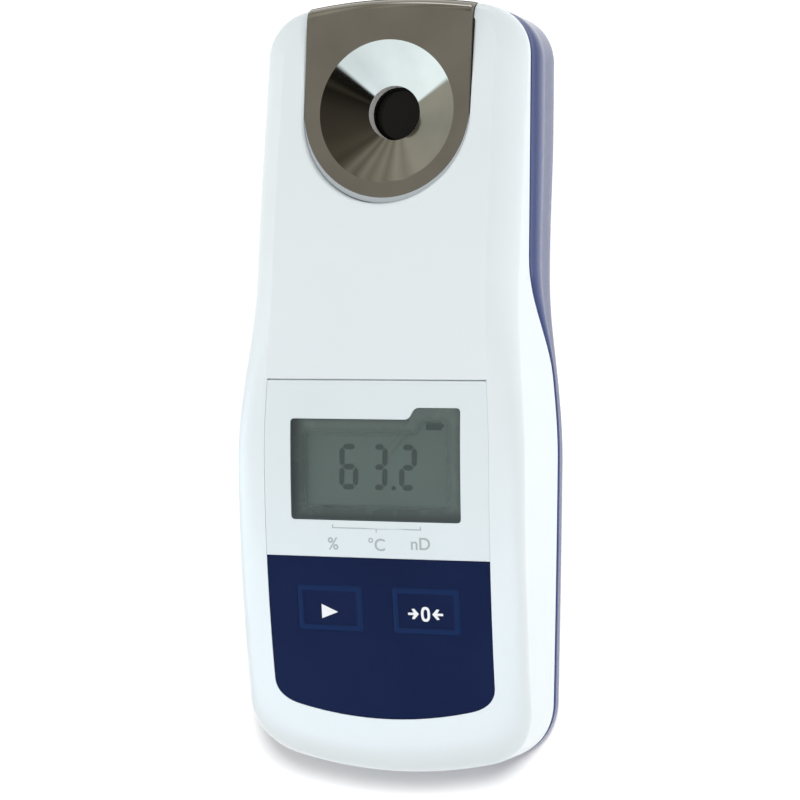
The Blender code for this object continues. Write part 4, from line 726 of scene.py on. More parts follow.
def window_glass():
    """A clear pane whose printed border hides the frame: the border is where the print attribute is 1. Its
    colour carries the display's painted edge shade.
    """
    kit = display_glass("window_pane_glass", 0.15, (93, 105, 101), (52, 58, 58))
    kit.set(kit.shader.inputs["Alpha"], kit.most(kit.attribute("print"), PANE_ALPHA))
    return kit.made


def stage_metal():
    """Polished metal: its seat's wall is bored and paler, the ledge at its foot is blackened, and a light
    grey band of painted shade follows its round end, standing in for the case's notch wall in shade."""
    kit = Kit("stage_metal")
    bored, black, lip = (kit.attribute(name) for name in ("bored", "blackened", "lip"))
    matt = kit.most(bored, lip)
    kit.set(kit.shader.inputs["Metallic"], kit.maths("SUBTRACT", 1.0, matt))
    plain = kit.mixed(kit.ranged(kit.noise(90, 4), 0, 1), shade(111, 107, 97), shade(103, 99, 89))
    # where lip is 1, the painted band of shade in grey, matt and not metal
    plain = kit.mixed(lip, kit.mixed(bored, plain, shade(214, 211, 208)), shade(180, 186, 189))
    kit.colour(kit.mixed(black, plain, shade(20, 19, 16)))
    lines = kit.noise(SCRATCHES, 4, 0.6)
    kit.rough(kit.most(kit.ranged(lines, 0.05, 0.08), kit.maths("MULTIPLY", matt, 0.5),
                       kit.maths("MULTIPLY", black, 0.6)))
    kit.normal(kit.relief(lines, 0.0000006))
    return kit.made


def key_film():
    """The keypad's film where it is pressed up round a key, with a painted highlight: its raised border is a
    shade lighter, standing in for the light its slopes catch.
    """
    kit = Kit("key_film", Specular_IOR_Level=0.02)
    plain = kit.mixed(kit.ranged(kit.noise(60, 4), 0, 1), shade(25, 36, 70), shade(22, 32, 64))
    # painted highlight: the raised border's lighter blue
    kit.colour(kit.mixed(kit.attribute("ridge_highlight"), plain, shade(27, 45, 84)))
    kit.rough(kit.ranged(kit.noise(420, 5), 0.42, 0.5))
    kit.normal(kit.relief(kit.noise(5000, 3), 0.000002))
    return kit.made


def plain_print(name, colour):
    """Screen-printed ink: one tone with a faint mottle and uneven gloss."""
    deep = tuple(tone - 4 for tone in colour)
    return moulded(name, colour, deep, (0.45, 0.55), 6000, 0.000001, 400, Specular_IOR_Level=0.15)


FINISH["stage_metal"] = stage_metal()
# The display glass and the pane: their deep colours are the painted shade at their edges
FINISH["display_glass"] = display_glass("display_glass", 0.1, (129, 146, 140), (78, 86, 86)).made
FINISH["window_clear"] = window_glass()
FINISH["key_film"] = key_film()
FINISH["segment"] = plain_print("display_segment", (34, 42, 42))
FINISH["white_print"] = plain_print("white_print", (246, 248, 250))
FINISH["grey_print"] = plain_print("grey_print", (176, 184, 186))


# Front shell

def rays_between(outer, inner, rows):
    """Rows of plan points on the straight lines from the inner points to the outer ones."""
    share = np.linspace(0, 1, rows)[None, :, None]
    return inner[:, None] + (outer - inner)[:, None] * share


def front_columns():
    """The front shell's right half as closed profiles, from the notch's tip round to the foot's middle.
    Each profile climbs the notch wall, rounds on to the face, crosses it to the shoulder, falls over
    that to the rim, steps in round the lip and comes back under the ceiling."""
    tip = np.argmin(np.abs(EDGE[:, 0] - STAGE_RADIUS) + (EDGE[:, 1] < STAGE_Y))
    points, normal = stations(COLUMNS)
    keep = (points[:, 1] <= STAGE_Y) | (points[:, 0] >= STAGE_RADIUS + TIP_CLEAR)
    points = np.concatenate([points[keep], EDGE[tip:tip + 1]])[::-1]
    normal = np.concatenate([normal[keep], EDGE_NORMAL[tip:tip + 1]])[::-1]
    points[0, 0] = STAGE_RADIUS
    width = shoulder(points, normal)[0]
    edge = points - normal * width[:, None]
    edge[:, 0] = np.where(edge[:, 1] > STAGE_Y, np.maximum(edge[:, 0], STAGE_RADIUS), edge[:, 0])
    centre = np.array([0, STAGE_Y])
    round_part = centre + unit(edge - centre) * STAGE_RADIUS
    straight = np.stack([np.full(len(edge), STAGE_RADIUS), edge[:, 1]], 1)
    notch = np.where(edge[:, 1:] >= STAGE_Y, straight, round_part)
    gap = edge - notch
    length = np.linalg.norm(gap, axis=1)[:, None]
    way = gap / np.maximum(length, LEAST_LENGTH)
    fillet = np.minimum(NOTCH_ROUND, length / 3)
    turn = np.linspace(0, math.pi / 2, ROUND_STEPS + 1)
    inset = 1 - np.cos(turn)
    over = notch[:, None] + way[:, None] * fillet[:, None] * inset[None, :, None]
    over_fall = fillet * (1 - np.sin(turn))[None]
    face = rays_between(edge, notch + way * fillet, FACE_ROWS)[:, 1:]
    t = np.linspace(0, 1, SLOPE_ROWS + 1)[1:]
    slope = points[:, None] - normal[:, None] * (width[:, None] * (1 - t) ** 2)[..., None]
    slope[..., 0] = np.where(slope[..., 1] > STAGE_Y, np.maximum(slope[..., 0], STAGE_RADIUS), slope[..., 0])
    plan = np.concatenate([over, face, slope], 1)
    height = front_form(plan[..., 0], plan[..., 1])[0]
    height[:, :len(turn)] -= over_fall
    rim = parting_height(points[:, 1]) + GAP / 2
    wall_top = height[:, -1]
    drop = np.linspace(0, 1, WALL_ROWS + 1)[None, 1:]
    wall_z = wall_top[:, None] + (rim + RIM_ROUND - wall_top)[:, None] * drop
    wall = np.broadcast_to(points[:, None], (*wall_z.shape, 2))
    rim_turn = np.linspace(0, math.pi / 2, RIM_STEPS + 1)[1:]
    rim_plan = points[:, None] - normal[:, None] * (RIM_ROUND * (1 - np.cos(rim_turn)))[None, :, None]
    rim_z = rim[:, None] + RIM_ROUND * (1 - np.sin(rim_turn))[None]
    roof = rim + LIP_HEIGHT
    lip, inner = points - normal * LIP_WIDTH, points - normal * SIDE_WALL
    inner_top = np.maximum(face_height(edge[:, 0], edge[:, 1]) - SHOULDER_WALL, roof + GAP)
    ceiling_edge = edge - way * np.minimum(CEILING_INSET, length / 2)
    ceiling = rays_between(notch, ceiling_edge, CEILING_ROWS)
    steps_plan = np.stack([lip, lip, inner, inner], 1)
    steps_z = np.stack([rim, roof, roof, inner_top], 1)
    ceiling_z = face_height(ceiling[..., 0], ceiling[..., 1]) - FRONT_WALL
    plan = np.concatenate([plan, wall, rim_plan, steps_plan, ceiling], 1)
    height = np.concatenate([height, wall_z, rim_z, steps_z, ceiling_z], 1)
    return np.concatenate([plan, height[..., None]], -1)


def pocket_rings():
    """Rings of the pocket that the label and keypad lie in, from its floor's middle up its wall."""
    line = keypad_line(GAP, LABEL_HEAD_Y - POCKET_HEAD_INSET)
    floor = [on_face(shrunk(line, POCKET_CENTRE, s), -PANEL_POCKET) for s in np.linspace(CENTRE_SHARE, 1, 12)]
    return floor + [ring(line, ABOVE)]


def front_case():
    """The front shell: its half profiles mirrored, with bosses inside and every opening cut."""
    right = front_columns()
    grid = np.concatenate([right, right[-2::-1] * [-1, 1, 1]])
    columns, rows = grid.shape[:2]
    caps = (range(rows), range((columns - 1) * rows, columns * rows))
    case = solid("front_shell", grid, grid_faces(columns, rows, False, True), FINISH["white_shell"], caps)
    bosses = [(p, CASE_BOSS_RADIUS, parting_height(p[1]) + GAP) for p in CASE_SCREWS]
    bosses += [(p, BOARD_BOSS_RADIUS, BOARD_TOP) for p in BOARD_SCREWS]
    bosses = [post(p, radius, low, face_height(*p) - FRONT_WALL + BOSS_OVERLAP) for p, radius, low in bosses]
    bores = [post(p, CASE_SHANK + GAP, 0, parting_height(p[1]) + CASE_BORE_DEPTH) for p in CASE_SCREWS]
    window = loft("window_hole", upright(window_line(-WINDOW_LEDGE), OPENING_LOW, ABOVE))
    wells = [loft("well", [on_face(key_line(x, GAP), -PANEL_POCKET - KEY_WELL),
                           ring(key_line(x, GAP), ABOVE)]) for x in KEY_PLACES]
    stems = [post((x, KEY_Y), STEM_RADIUS + GAP, OPENING_LOW, STEM_HOLE_TOP) for x in KEY_PLACES]
    carve(case, ("UNION", merged("bosses", bosses)), ("DIFFERENCE", merged("bores", bores)),
          ("DIFFERENCE", loft("pocket", pocket_rings())),
          ("DIFFERENCE", merged("openings", [window, *wells])),
          ("DIFFERENCE", merged("stem_holes", stems)))
    true_shading(case, front_form)
    dress(case, CASE, "white_shell", "front_case")


# Rear shell

def rear_case():
    """The rear shell as rings: out over its floor, up inside, over the rounded rim, down its wall and
    the round below it, and in along the back."""
    points, normal = (np.concatenate([v, v[-2:0:-1] * [-1, 1]]) for v in stations(COLUMNS))
    y = points[:, 1]
    rim, foot = parting_height(y) - GAP / 2, rear_height(y) + REAR_ROUND
    reach = HEAD_END_Y - HEAD_CORNER[1] - REAR_ROUND
    spine = np.stack([np.zeros(len(points)), np.clip(y, -reach, reach)], 1)

    def inset(distance):
        return points - normal * distance

    def above_back(line, rise):
        return ring(line, rear_height(line[:, 1]) + rise)

    def spread(edge, shares, rise):
        return [above_back(spine + (edge - spine) * share, rise) for share in shares]

    rings = spread(inset(SIDE_WALL + REAR_ROUND / 2), np.linspace(0, 1, 8), REAR_WALL)
    rings += [ring(inset(SIDE_WALL), foot - REAR_ROUND / 2 + REAR_WALL), ring(inset(SIDE_WALL), rim)]
    rings += [ring(inset(RIM_ROUND * (1 - math.cos(turn))), rim - RIM_ROUND * (1 - math.sin(turn)))
              for turn in np.linspace(math.pi / 2, 0, RIM_STEPS + 1)]
    rings += [ring(points, rim - RIM_ROUND + (foot - rim + RIM_ROUND) * share)
              for share in np.linspace(0, 1, 6)[1:-1]]
    rings += [above_back(inset(REAR_ROUND * (1 - math.cos(turn))), REAR_ROUND * (1 - math.sin(turn)))
              for turn in np.linspace(0, math.pi / 2, 11)]
    rings += spread(inset(REAR_ROUND), np.linspace(1, 0, 10)[1:], 0)
    grid = np.array(rings)
    case = solid("rear_shell", grid, grid_faces(len(grid), len(points), False, True), FINISH["blue_shell"])
    carve_rear(case)
    true_shading(case, rear_form)
    dress(case, CASE, "blue_shell", "rear_case")


def bay_line(grow=0.0):
    return rectangle(-BAY_HALF - grow, BAY_HALF + grow, BAY_FOOT - grow, BAY_HEAD + grow)


def cover_line(grow):
    return grown(rounded(rectangle(-COVER_HALF, COVER_HALF, COVER_FOOT, COVER_HEAD), COVER_CORNER, 12), grow)


def seal_line(grow):
    return grown(rounded(bay_line(SEAL_INSET), SEAL_INSET, 8), grow)


def carve_rear(case):
    """Adds the pad, bay, boss and screw seats inside, and cuts the cover's recess, the bay and the bores."""
    ledge = COVER_TOP + GAP
    pad = loft("pad", upright(cover_line(PAD_MARGIN), REAR_WALL / 2, ledge + PAD_THICKNESS))
    bay = loft("bay", upright(bay_line(BAY_WALL), REAR_WALL / 2 + 2 * APART, BAY_ROOF + BAY_WALL))
    boss = post(INSERT_PLACE, INSERT_BOSS_RADIUS, REAR_WALL, INSERT_BOSS_TOP)
    seats = [post(p, CASE_SEAT_RADIUS, rear_height(p[1]) + CASE_SEAT_RISE, parting_height(p[1]) - GAP)
             for p in CASE_SCREWS]
    recess = loft("recess", upright(cover_line(GAP), BELOW, ledge))
    sinks = [post(p, CASE_HEAD_RADIUS + GAP, BELOW, CASE_HEAD_HIGH + GAP) for p in CASE_SCREWS]
    space = loft("bay_space", upright(bay_line(), APART, BAY_ROOF))
    shanks = [post(p, CASE_SHANK + GAP, 2 * APART, parting_height(p[1]) + CASE_SHANK_DEPTH)
              for p in CASE_SCREWS]
    bore = post(INSERT_PLACE, INSERT_BORE_RADIUS, 2 * APART, INSERT_BORE_TOP)
    outer = upright(seal_line(SEAL_WIDTH), GROOVE_LOW, ledge + GROOVE_RISE)
    inner = upright(seal_line(-GAP), GROOVE_LOW, ledge + GROOVE_RISE)
    groove = loft("groove", outer + inner[::-1], closed=True)
    carve(case, ("UNION", merged("pads", [pad, *seats])), ("UNION", bay), ("UNION", boss),
          ("DIFFERENCE", merged("recesses", [recess, *sinks])),
          ("DIFFERENCE", merged("spaces", [space, bore, *shanks])), ("DIFFERENCE", groove))


# Sample stage

def stage_line():
    """The stage's plan, and which of its points are on the head end. A half circle to the display side,
    straight flanks, and the head end's arc between them."""
    radius = STAGE_RADIUS - STAGE_FIT
    head_y = HEAD_END_Y - radius ** 2 / 2 / HEAD_END_RADIUS
    arc = np.linspace(math.pi, 2 * math.pi, 121)
    circle = np.stack([radius * np.cos(arc), STAGE_Y + radius * np.sin(arc)], 1)
    rise = np.linspace(STAGE_Y, head_y, 30)[1:]
    flank = np.stack([np.full(len(rise), radius), rise], 1)
    x = np.linspace(radius, -radius, 41)[1:-1]
    end = np.stack([x, HEAD_END_Y - x ** 2 / 2 / HEAD_END_RADIUS], 1)
    line = np.concatenate([circle, flank, end, flank[::-1] * [-1, 1]])
    return line, line[:, 1] >= head_y - WELD


def stage():
    """The metal plate as rings round the dish: from the prism's cup over its seat to the dish's floor,
    out along the cone and over its rounded rim, along the top, down the outer wall and back below."""
    line, ends = stage_line()
    centre = np.array([0, DISH_Y])
    way = unit(line - centre)

    def top(plan):
        return front_form(plan[..., 0], plan[..., 1], middle=stage_height)[0]

    floor_z = float(stage_height(DISH_Y)) - DISH_DEPTH
    seat_z = floor_z - SEAT_DEPTH
    lip_radius, under_z = DISH_FLOOR - SEAT_LIP_WIDTH, seat_z - SEAT_LIP
    cup_z = floor_z - CUP_DEPTH
    rings = []

    def circle(radius, height):
        rings.append(ring(centre + way * radius, height))

    for radius, height in ((CUP_RADIUS, cup_z), (SEAL_POCKET, cup_z), (SEAL_POCKET, under_z),
                           (lip_radius, under_z), (lip_radius, seat_z - SEAT_ROUND),
                           (lip_radius + SEAT_ROUND, seat_z), (DISH_FLOOR - FLOOR_ROUND, seat_z)):
        circle(radius, height)
    for share in np.linspace(SEAT_WALL_START, 1, 6):
        circle(DISH_FLOOR, seat_z + (floor_z - FLOOR_ROUND - seat_z) * share)
    slope = (top(centre + way * DISH_RIM) - floor_z) / (DISH_RIM - DISH_FLOOR)
    tilt = np.arctan(slope)
    start = DISH_RIM - DISH_RIM_ROUND * np.tan(tilt / 2) * np.cos(tilt)
    foot = DISH_FLOOR + FLOOR_ROUND
    for share in np.linspace(0, 1, 26):
        radius = foot + (start - foot) * share
        circle(radius[:, None], floor_z + (radius - DISH_FLOOR) * slope)
    for left in tilt * np.linspace(1, 0, 11)[1:, None]:
        radius = start + DISH_RIM_ROUND * (np.sin(tilt) - np.sin(left))
        circle(radius[:, None], floor_z + (start - DISH_FLOOR) * slope
               + DISH_RIM_ROUND * (np.cos(left) - np.cos(tilt)))
    rim_line, inner_edge = rings[-1][:, :2], line - way * STAGE_EDGE_ROUND
    for share in np.linspace(0, 1, 40)[1:]:
        plan = rim_line + (inner_edge - rim_line) * share
        rings.append(ring(plan, top(plan)))
    for turn in np.linspace(0, math.pi / 2, 5)[1:]:
        rings.append(ring(line - way * STAGE_EDGE_ROUND * (1 - math.sin(turn)),
                          top(inner_edge) - STAGE_EDGE_ROUND * (1 - math.cos(turn))))
    side_z = top(centre + way * (DISH_RIM + STAGE_RIM_MARGIN)) - STAGE_THICKNESS
    low = np.where(ends, parting_height(line[:, 1]) + GAP / 2, side_z)
    inner = line - way * SIDE_WALL
    rings += [ring(line, low), ring(inner, low), ring(inner, side_z - STAGE_STEP)]
    circle(CUP_RADIUS, side_z - STAGE_STEP)
    grid = np.array(rings)
    piece = solid("sample_stage_metal", grid, grid_faces(len(grid), len(line), True, True),
                  FINISH["stage_metal"], sharp=25)
    points = read(piece.data.vertices, "co")
    radius = np.linalg.norm(points[:, :2] - centre, axis=1)
    inside = (radius < DISH_FLOOR + WELD) & (points[:, 2] > under_z - WELD)
    wall = inside & (radius > DISH_FLOOR - WELD) & (points[:, 2] < floor_z - SEAT_WALL_END)
    # The lip attribute is a light grey band painted along the round end, as painted shade standing in for the
    # case's notch wall in shade: widest towards the display, none along the flanks
    gap = np.linalg.norm(line[closest(points[:, :2], line)] - points[:, :2], axis=1)
    painted_band = PAINTED_BAND_WIDTH * np.clip(-(points[:, 1] - STAGE_Y) / STAGE_RADIUS, 0, 1) ** PAINTED_BAND_TAPER
    lip = 1 - smooth_step((gap - painted_band) / PAINTED_BAND_BLUR + 0.5)
    lip *= (points[:, 1] < STAGE_Y) & (points[:, 2] > side_z.min())
    mark(piece, "blackened", inside & ~wall)
    mark(piece, "bored", wall)
    # the painted band of shade
    mark(piece, "lip", lip)
    dress(piece, CASE, "stage_metal", "sample_stage")


# Panels, window and display

# The pane's printed border: its inset, the shift of its left side, and the width over which it fades
BORDER_INSET, BORDER_SHIFT, BORDER_FADE = 0.0027, 0.0004, 0.0030
BORDER_STEP, GLASS_INSET = 0.0003, 0.0012


def panels():
    """The label, the keypad, the window's pane and the display's glass."""
    middle = (0, (WINDOW_FOOT_Y + WINDOW_HEAD_Y) / 2)
    label = inlaid("label_panel_film", lambda d: label_line(d + PANEL_FIT), middle, FINISH["label_film"])
    carve(label, ("DIFFERENCE", loft("label_hole", upright(window_line(FINE_GAP), PANEL_LOW, ABOVE))))
    true_shading(label, front_form)
    dress(label, CASE, "label_film", "label_panel")
    keypad = inlaid("keypad_panel_film", lambda d: keypad_line(d + PANEL_FIT), KEYPAD_CENTRE,
                    FINISH["navy_film"], rows=14)
    holes = [loft("key_hole", upright(key_line(x, FINE_GAP), PANEL_LOW, ABOVE)) for x in KEY_PLACES]
    carve(keypad, ("DIFFERENCE", merged("key_holes", holes)))
    true_shading(keypad, front_form)
    dress(keypad, CASE, "navy_film", "keypad_panel")
    window = inlaid("window_pane", lambda d: grown(filled(window_line()), d), middle,
                    FINISH["window_clear"], rows=60)
    border = window_line(-BORDER_INSET)
    border[border[:, 0] < 0, 0] += BORDER_SHIFT
    mark_border(window, border, "print", BORDER_FADE)
    window.visible_shadow = False
    dress(window, CASE, "window_clear", "display_window")
    low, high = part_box("lcd_glass")[0].z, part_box("lcd_glass")[1].z
    line = window_line(-GLASS_INSET)
    places = ((CENTRE_SHARE, high), (0.5, high), (1, high), (1, low), (CENTRE_SHARE, low))
    rings = [ring(shrunk(line, middle, share), height) for share, height in places]
    glass = loft("display_glass", rings, FINISH["display_glass"])
    dress(glass, CASE, "display_glass", "lcd_glass")


def mark_border(thing, line, name, fade):
    """Writes an attribute on a mesh: 0 well inside a closed line and 1 outside it, with a smooth rise
    that is centred on the line."""
    plan = read(thing.data.vertices, "co")[:, :2]
    line = filled(line, BORDER_STEP)
    inward = unit(grown(line, -APART) - line)
    near = closest(plan, line)
    depth = ((plan - line[near]) * inward[near]).sum(1)
    mark(thing, name, 1 - smooth_step(depth / fade + 0.5))


# Printed marks

# Thickness of ink and its rise over the face; letters' size and weight
INK, KEY_INK, SEGMENT_INK = 0.00002, 0.00006, 0.00003
LABEL_RISE, KEY_RISE, SEGMENT_RISE = 0.00002, -0.00004, 0.00004
LETTER_SIZE, LETTER_WEIGHT, LETTER_DEPTH = 0.0032, 0.00004, 0.00001


def plates(shapes, height, depth):
    """A thin closed plate for each plan line, with its top at a height given for each point."""
    return [loft("plate", [ring(line, height(line) - depth), ring(line, height(line))])
            for line in map(np.asarray, shapes)]


def inked(name, parts, finish, body, slot):
    """Joins plates into one piece of ink."""
    made = merged(name, parts)
    made.data.materials.append(finish)
    return dress(made, body, slot)


def bar(start, end, width, taper=1.0):
    """A stroke between two points, with pointed ends as on a display: six corners."""
    start, end = np.asarray(start, float), np.asarray(end, float)
    way = (end - start) / np.linalg.norm(end - start)
    side = np.array([-way[1], way[0]]) * width / 2
    nose = way * width / 2 * taper
    return np.array([start, start + nose - side, end - nose - side,
                     end, end - nose + side, start + nose + side])


SEGMENTS = {"6": "afgecd", "3": "abgcd", "2": "abged"}
DIGIT_STROKE, DIGIT_GAP = 0.00105, 0.00012


def digit(symbol, left, right, low, high):
    """The strokes of one numeral on a seven-stroke grid."""
    middle, g = (low + high) / 2, DIGIT_GAP
    corners = {"a": ((left + g, high), (right - g, high)), "g": ((left + g, middle), (right - g, middle)),
               "d": ((left + g, low), (right - g, low)), "f": ((left, high - g), (left, middle + g)),
               "e": ((left, middle - g), (left, low + g)), "b": ((right, high - g), (right, middle + g)),
               "c": ((right, middle - g), (right, low + g))}
    return [bar(*corners[name], DIGIT_STROKE) for name in SEGMENTS[symbol]]


# The display's numerals with their left and right, their foot and head, and its other signs
NUMERALS = (("6", -0.0076, -0.0038), ("3", -0.0012, 0.0020), ("2", 0.0043, 0.0078))
NUMERAL_FOOT, NUMERAL_HEAD = -0.0192, -0.0107
POINT, POINT_RADIUS = (0.00325, -0.0188), 0.00045
BATTERY, BATTERY_CAP = (0.0095, 0.0126, -0.0080, -0.0062), (0.01265, 0.0130, -0.0075, -0.0067)
MARKER = ((-0.0116, -0.0222), (-0.0085, -0.0235), (-0.0055, -0.0223))


def display_marks():
    """The display's digits, point and signs, just over its glass."""
    half = DIGIT_STROKE / 2
    shapes = []
    for symbol, left, right in NUMERALS:
        shapes += digit(symbol, left + half, right - half, NUMERAL_FOOT + half, NUMERAL_HEAD - half)
    shapes += [round_line(POINT, POINT_RADIUS, 16), rounded(rectangle(*BATTERY), 0.0003),
               rounded(rectangle(*BATTERY_CAP), 0.0001), MARKER]
    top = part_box("lcd_glass")[1].z
    parts = plates(shapes, lambda line: np.full(len(line), top + SEGMENT_RISE), SEGMENT_INK)
    inked("display_segments", parts, FINISH["segment"], CASE, "display_glass")


def face_level(rise):
    return lambda line: face_height(line[:, 0], line[:, 1]) + rise


def lettering(word, centre):
    """A generic sign as thin closed plates that follow the face."""
    curve = bpy.data.curves.new(word, "FONT")
    curve.body, curve.size, curve.extrude, curve.offset = word, LETTER_SIZE, LETTER_DEPTH, LETTER_WEIGHT
    curve.align_x, curve.align_y = "CENTER", "CENTER"
    thing = placed(word, curve)
    mesh = settled(thing)
    bpy.data.objects.remove(thing)
    points = read(mesh.vertices, "co")
    points[:, :2] += centre
    points[:, 2] += face_level(LETTER_DEPTH)(points)
    mesh.vertices.foreach_set("co", points.ravel())
    return placed(word, mesh)


def label_marks():
    """Grey print below the window: a bracket with a short stem, and three generic units."""
    left, right, low, high, width = -0.0085, 0.0091, -0.0262, -0.0257, 0.0002
    stem, stem_low = 0.0002, -0.0270
    x = np.linspace(left, right, 30)
    line = np.concatenate([np.stack([x, np.full(len(x), low - width)], 1),
                           np.stack([x[::-1], np.full(len(x), low)], 1)])
    shapes = [line, rectangle(left, left + width, low, high), rectangle(right - width, right, low, high),
              rectangle(stem, stem + width, stem_low, low - width)]
    inked("label_bracket", plates(shapes, face_level(LABEL_RISE), INK), FINISH["grey_print"], CASE,
          "label_film")
    words = [lettering("%", (-0.0084, -0.0294)), lettering("°C", (0.0003, -0.0294)),
             lettering("nD", (0.0089, -0.0290))]
    inked("label_units", words, FINISH["grey_print"], CASE, "label_film")


# The keys' print: the start triangle, the zero's centre, the half sizes of its outer and inner oval
# with their power, and the right arrow from that centre
PLAY = ((-0.0113, -0.0407), (-0.0113, -0.0434), (-0.0080, -0.0421))
NOUGHT = np.array([0.00937, -0.0419])
NOUGHT_OUTER, NOUGHT_INNER, NOUGHT_POWER = (0.00088, 0.00138), (0.00038, 0.00088), 2.6
ARROW = np.array([(0.0034, -0.00022), (0.0023, -0.00022), (0.0027, -0.0009), (0.0022, -0.0010), (0.0013, 0),
                  (0.0022, 0.0010), (0.0027, 0.0009), (0.0023, 0.00022), (0.0034, 0.00022)])


def oval(width, height):
    """The zero's outline: a circle whose sides are pushed out to the curve |x|^p + |y|^p = 1, and
    stretched."""
    turn = np.linspace(0, 2 * math.pi, 32, endpoint=False)
    way = np.stack([np.cos(turn), np.sin(turn)], 1)
    reach = (np.abs(way) ** NOUGHT_POWER).sum(1) ** (-1 / NOUGHT_POWER)
    return NOUGHT + way * reach[:, None] * (width, height)


def key_marks():
    """White print on the keys: a start triangle, and a zero between two arrows."""
    level = face_level(KEY_RISE)
    inked("start_mark", plates([PLAY], level, KEY_INK), FINISH["white_print"], START, "navy_film")
    outer, inner = oval(*NOUGHT_OUTER), oval(*NOUGHT_INNER)
    rings = [ring(line, level(line) - depth)
             for line, depth in ((outer, KEY_INK), (outer, 0), (inner, 0), (inner, KEY_INK))]
    arrows = plates([NOUGHT + (ARROW * [-1, 1])[::-1], NOUGHT + ARROW], level, KEY_INK)
    parts = [loft("zero", rings, closed=True), *arrows]
    inked("zero_mark", parts, FINISH["white_print"], ZERO, "navy_film")


# Each key cap's rings: their inset from its edge and their rise over the face; then its finest corner,
# and the inset and width of the painted highlight that lightens its ridge
KEY_INSETS = (0.0018, 0.0014, 0.0012, 0.0009, 0.0005, 0.00025, 0.0001, 0.0)
KEY_RISES = (-0.00008, -0.00006, 0.00002, 0.0001, 0.0001, 0.00005, 0.00001, -0.00004)
KEY_FINE_CORNER, RIDGE_INSET, RIDGE_FADE = 0.0003, 0.00105, 0.0003


def keys():
    """Each key: a cap with a raised border, in rings from its middle to its edge, and its stem."""
    for x, name, body in zip(KEY_PLACES, ("start", "zero"), (START, ZERO)):
        centre, line = (x, KEY_Y), key_line(x)
        middle = key_line(x, -KEY_INSETS[0], KEY_FINE_CORNER)
        rings = [on_face(shrunk(middle, centre, s), KEY_RISES[0]) for s in (CENTRE_SHARE, 0.4, 0.8)]
        rings += [on_face(key_line(x, -inset, max(KEY_CORNER - inset / 2, KEY_FINE_CORNER)), rise)
                  for inset, rise in zip(KEY_INSETS, KEY_RISES)]
        rings += [on_face(line, -PANEL_DEPTH), on_face(shrunk(line, centre, CENTRE_SHARE), -PANEL_DEPTH)]
        key = loft(f"key_{name}_cap", rings, FINISH["key_film"])
        stem_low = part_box(f"key_{name}")[0].z
        stem = post(centre, STEM_RADIUS, stem_low, face_height(x, KEY_Y) - PANEL_DEPTH / 2)
        carve(key, ("UNION", stem))
        # marks where the raised border gets its painted highlight
        mark_border(key, key_line(x, -RIDGE_INSET), "ridge_highlight", RIDGE_FADE)
        dress(key, body, "navy_film", f"key_{name}")


# CAD nodes that keep their shape

def carried():
    """Gives every other CAD node the finish of its slot."""
    slots = {"battery_cover": "blue_shell", "cover_seal": "black_rubber", "case_gasket": "black_rubber",
             "prism": "prism_glass", "prism_seal": "black_rubber", "lcd_glass": "display_glass",
             "lcd_holder": "black_plastic", "lcd_connector": "black_rubber", "main_board": "board_green",
             "light_board": "board_green", "sensor_board": "board_green", "processor": "black_plastic",
             "line_sensor": "black_plastic", "optics_block": "black_plastic", "light_source": "clear_resin",
             "temperature_probe": "clear_resin", "ribbon_cable": "ribbon_amber", "cover_insert": "brass",
             "cover_screw": "bright_steel", "switch_start": "black_plastic", "switch_zero": "black_plastic",
             "switch_button_start": "brass", "switch_button_zero": "brass",
             "battery_cell_1": "cell_jacket", "battery_cell_2": "cell_jacket"}
    for name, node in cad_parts.items():
        if node.hide_render:
            continue
        finish = FINISH[slots.get(name, "bright_steel")]
        for slot in node.material_slots:
            slot.material = finish


# Studio

PHOTO_SIZE = 800
CAMERA_DISTANCE = 0.50234
CAMERA_TURN, CAMERA_RISE, CAMERA_ROLL = math.radians(20.78), math.radians(0.2), math.radians(-0.52)
CAMERA_TARGET = Vector((0, 0, 0.014))
PHOTO_SCALE = 5.28
PHOTO_CENTRE = (402.02, 386.77)
ROOM_LIGHT = 0.35
FLOOR_HALF, FLOOR_GLOW, FLOOR_GAP = 3.0, 0.20, 0.00005
# Place, target, size and watts of the lamp that casts the floor's shadow, and of those for the case
SHADOW_LAMP = ((0.38, 0.34, 1.0), (0, 0, 0), (0.30, 0.30), 15.0)
LAMPS = {"left_light": ((-0.8, 0, 0.28), (0, 0, 0.01), (1.0, 0.45), 2.5),
         "right_light": ((0.8, 0, 0.55), (0, 0, 0.01), (1.0, 0.45), 2.9),
         "front_light": ((0, 0.1, 1.0), (0, 0, 0), (0.8, 0.8), 3.8),
         "foot_light": ((0, -0.7, 0.4), (0, 0, 0.01), (0.8, 0.4), 0.5)}
# The card at the head end: its places across, along and up, its light at each place across, and tint
END_CARD_X, END_CARD_Y, END_CARD_Z = (-0.130, -0.118, -0.085, 0.03), 0.37, (0.004, 0.075)
END_CARD_LIGHT, END_CARD_TINT = (1.0, 1.6, 4.5, 5.0), (0.93, 0.96, 1.1)
CARD_DISTANCE, CARD_SPREAD = 0.3, 0.22
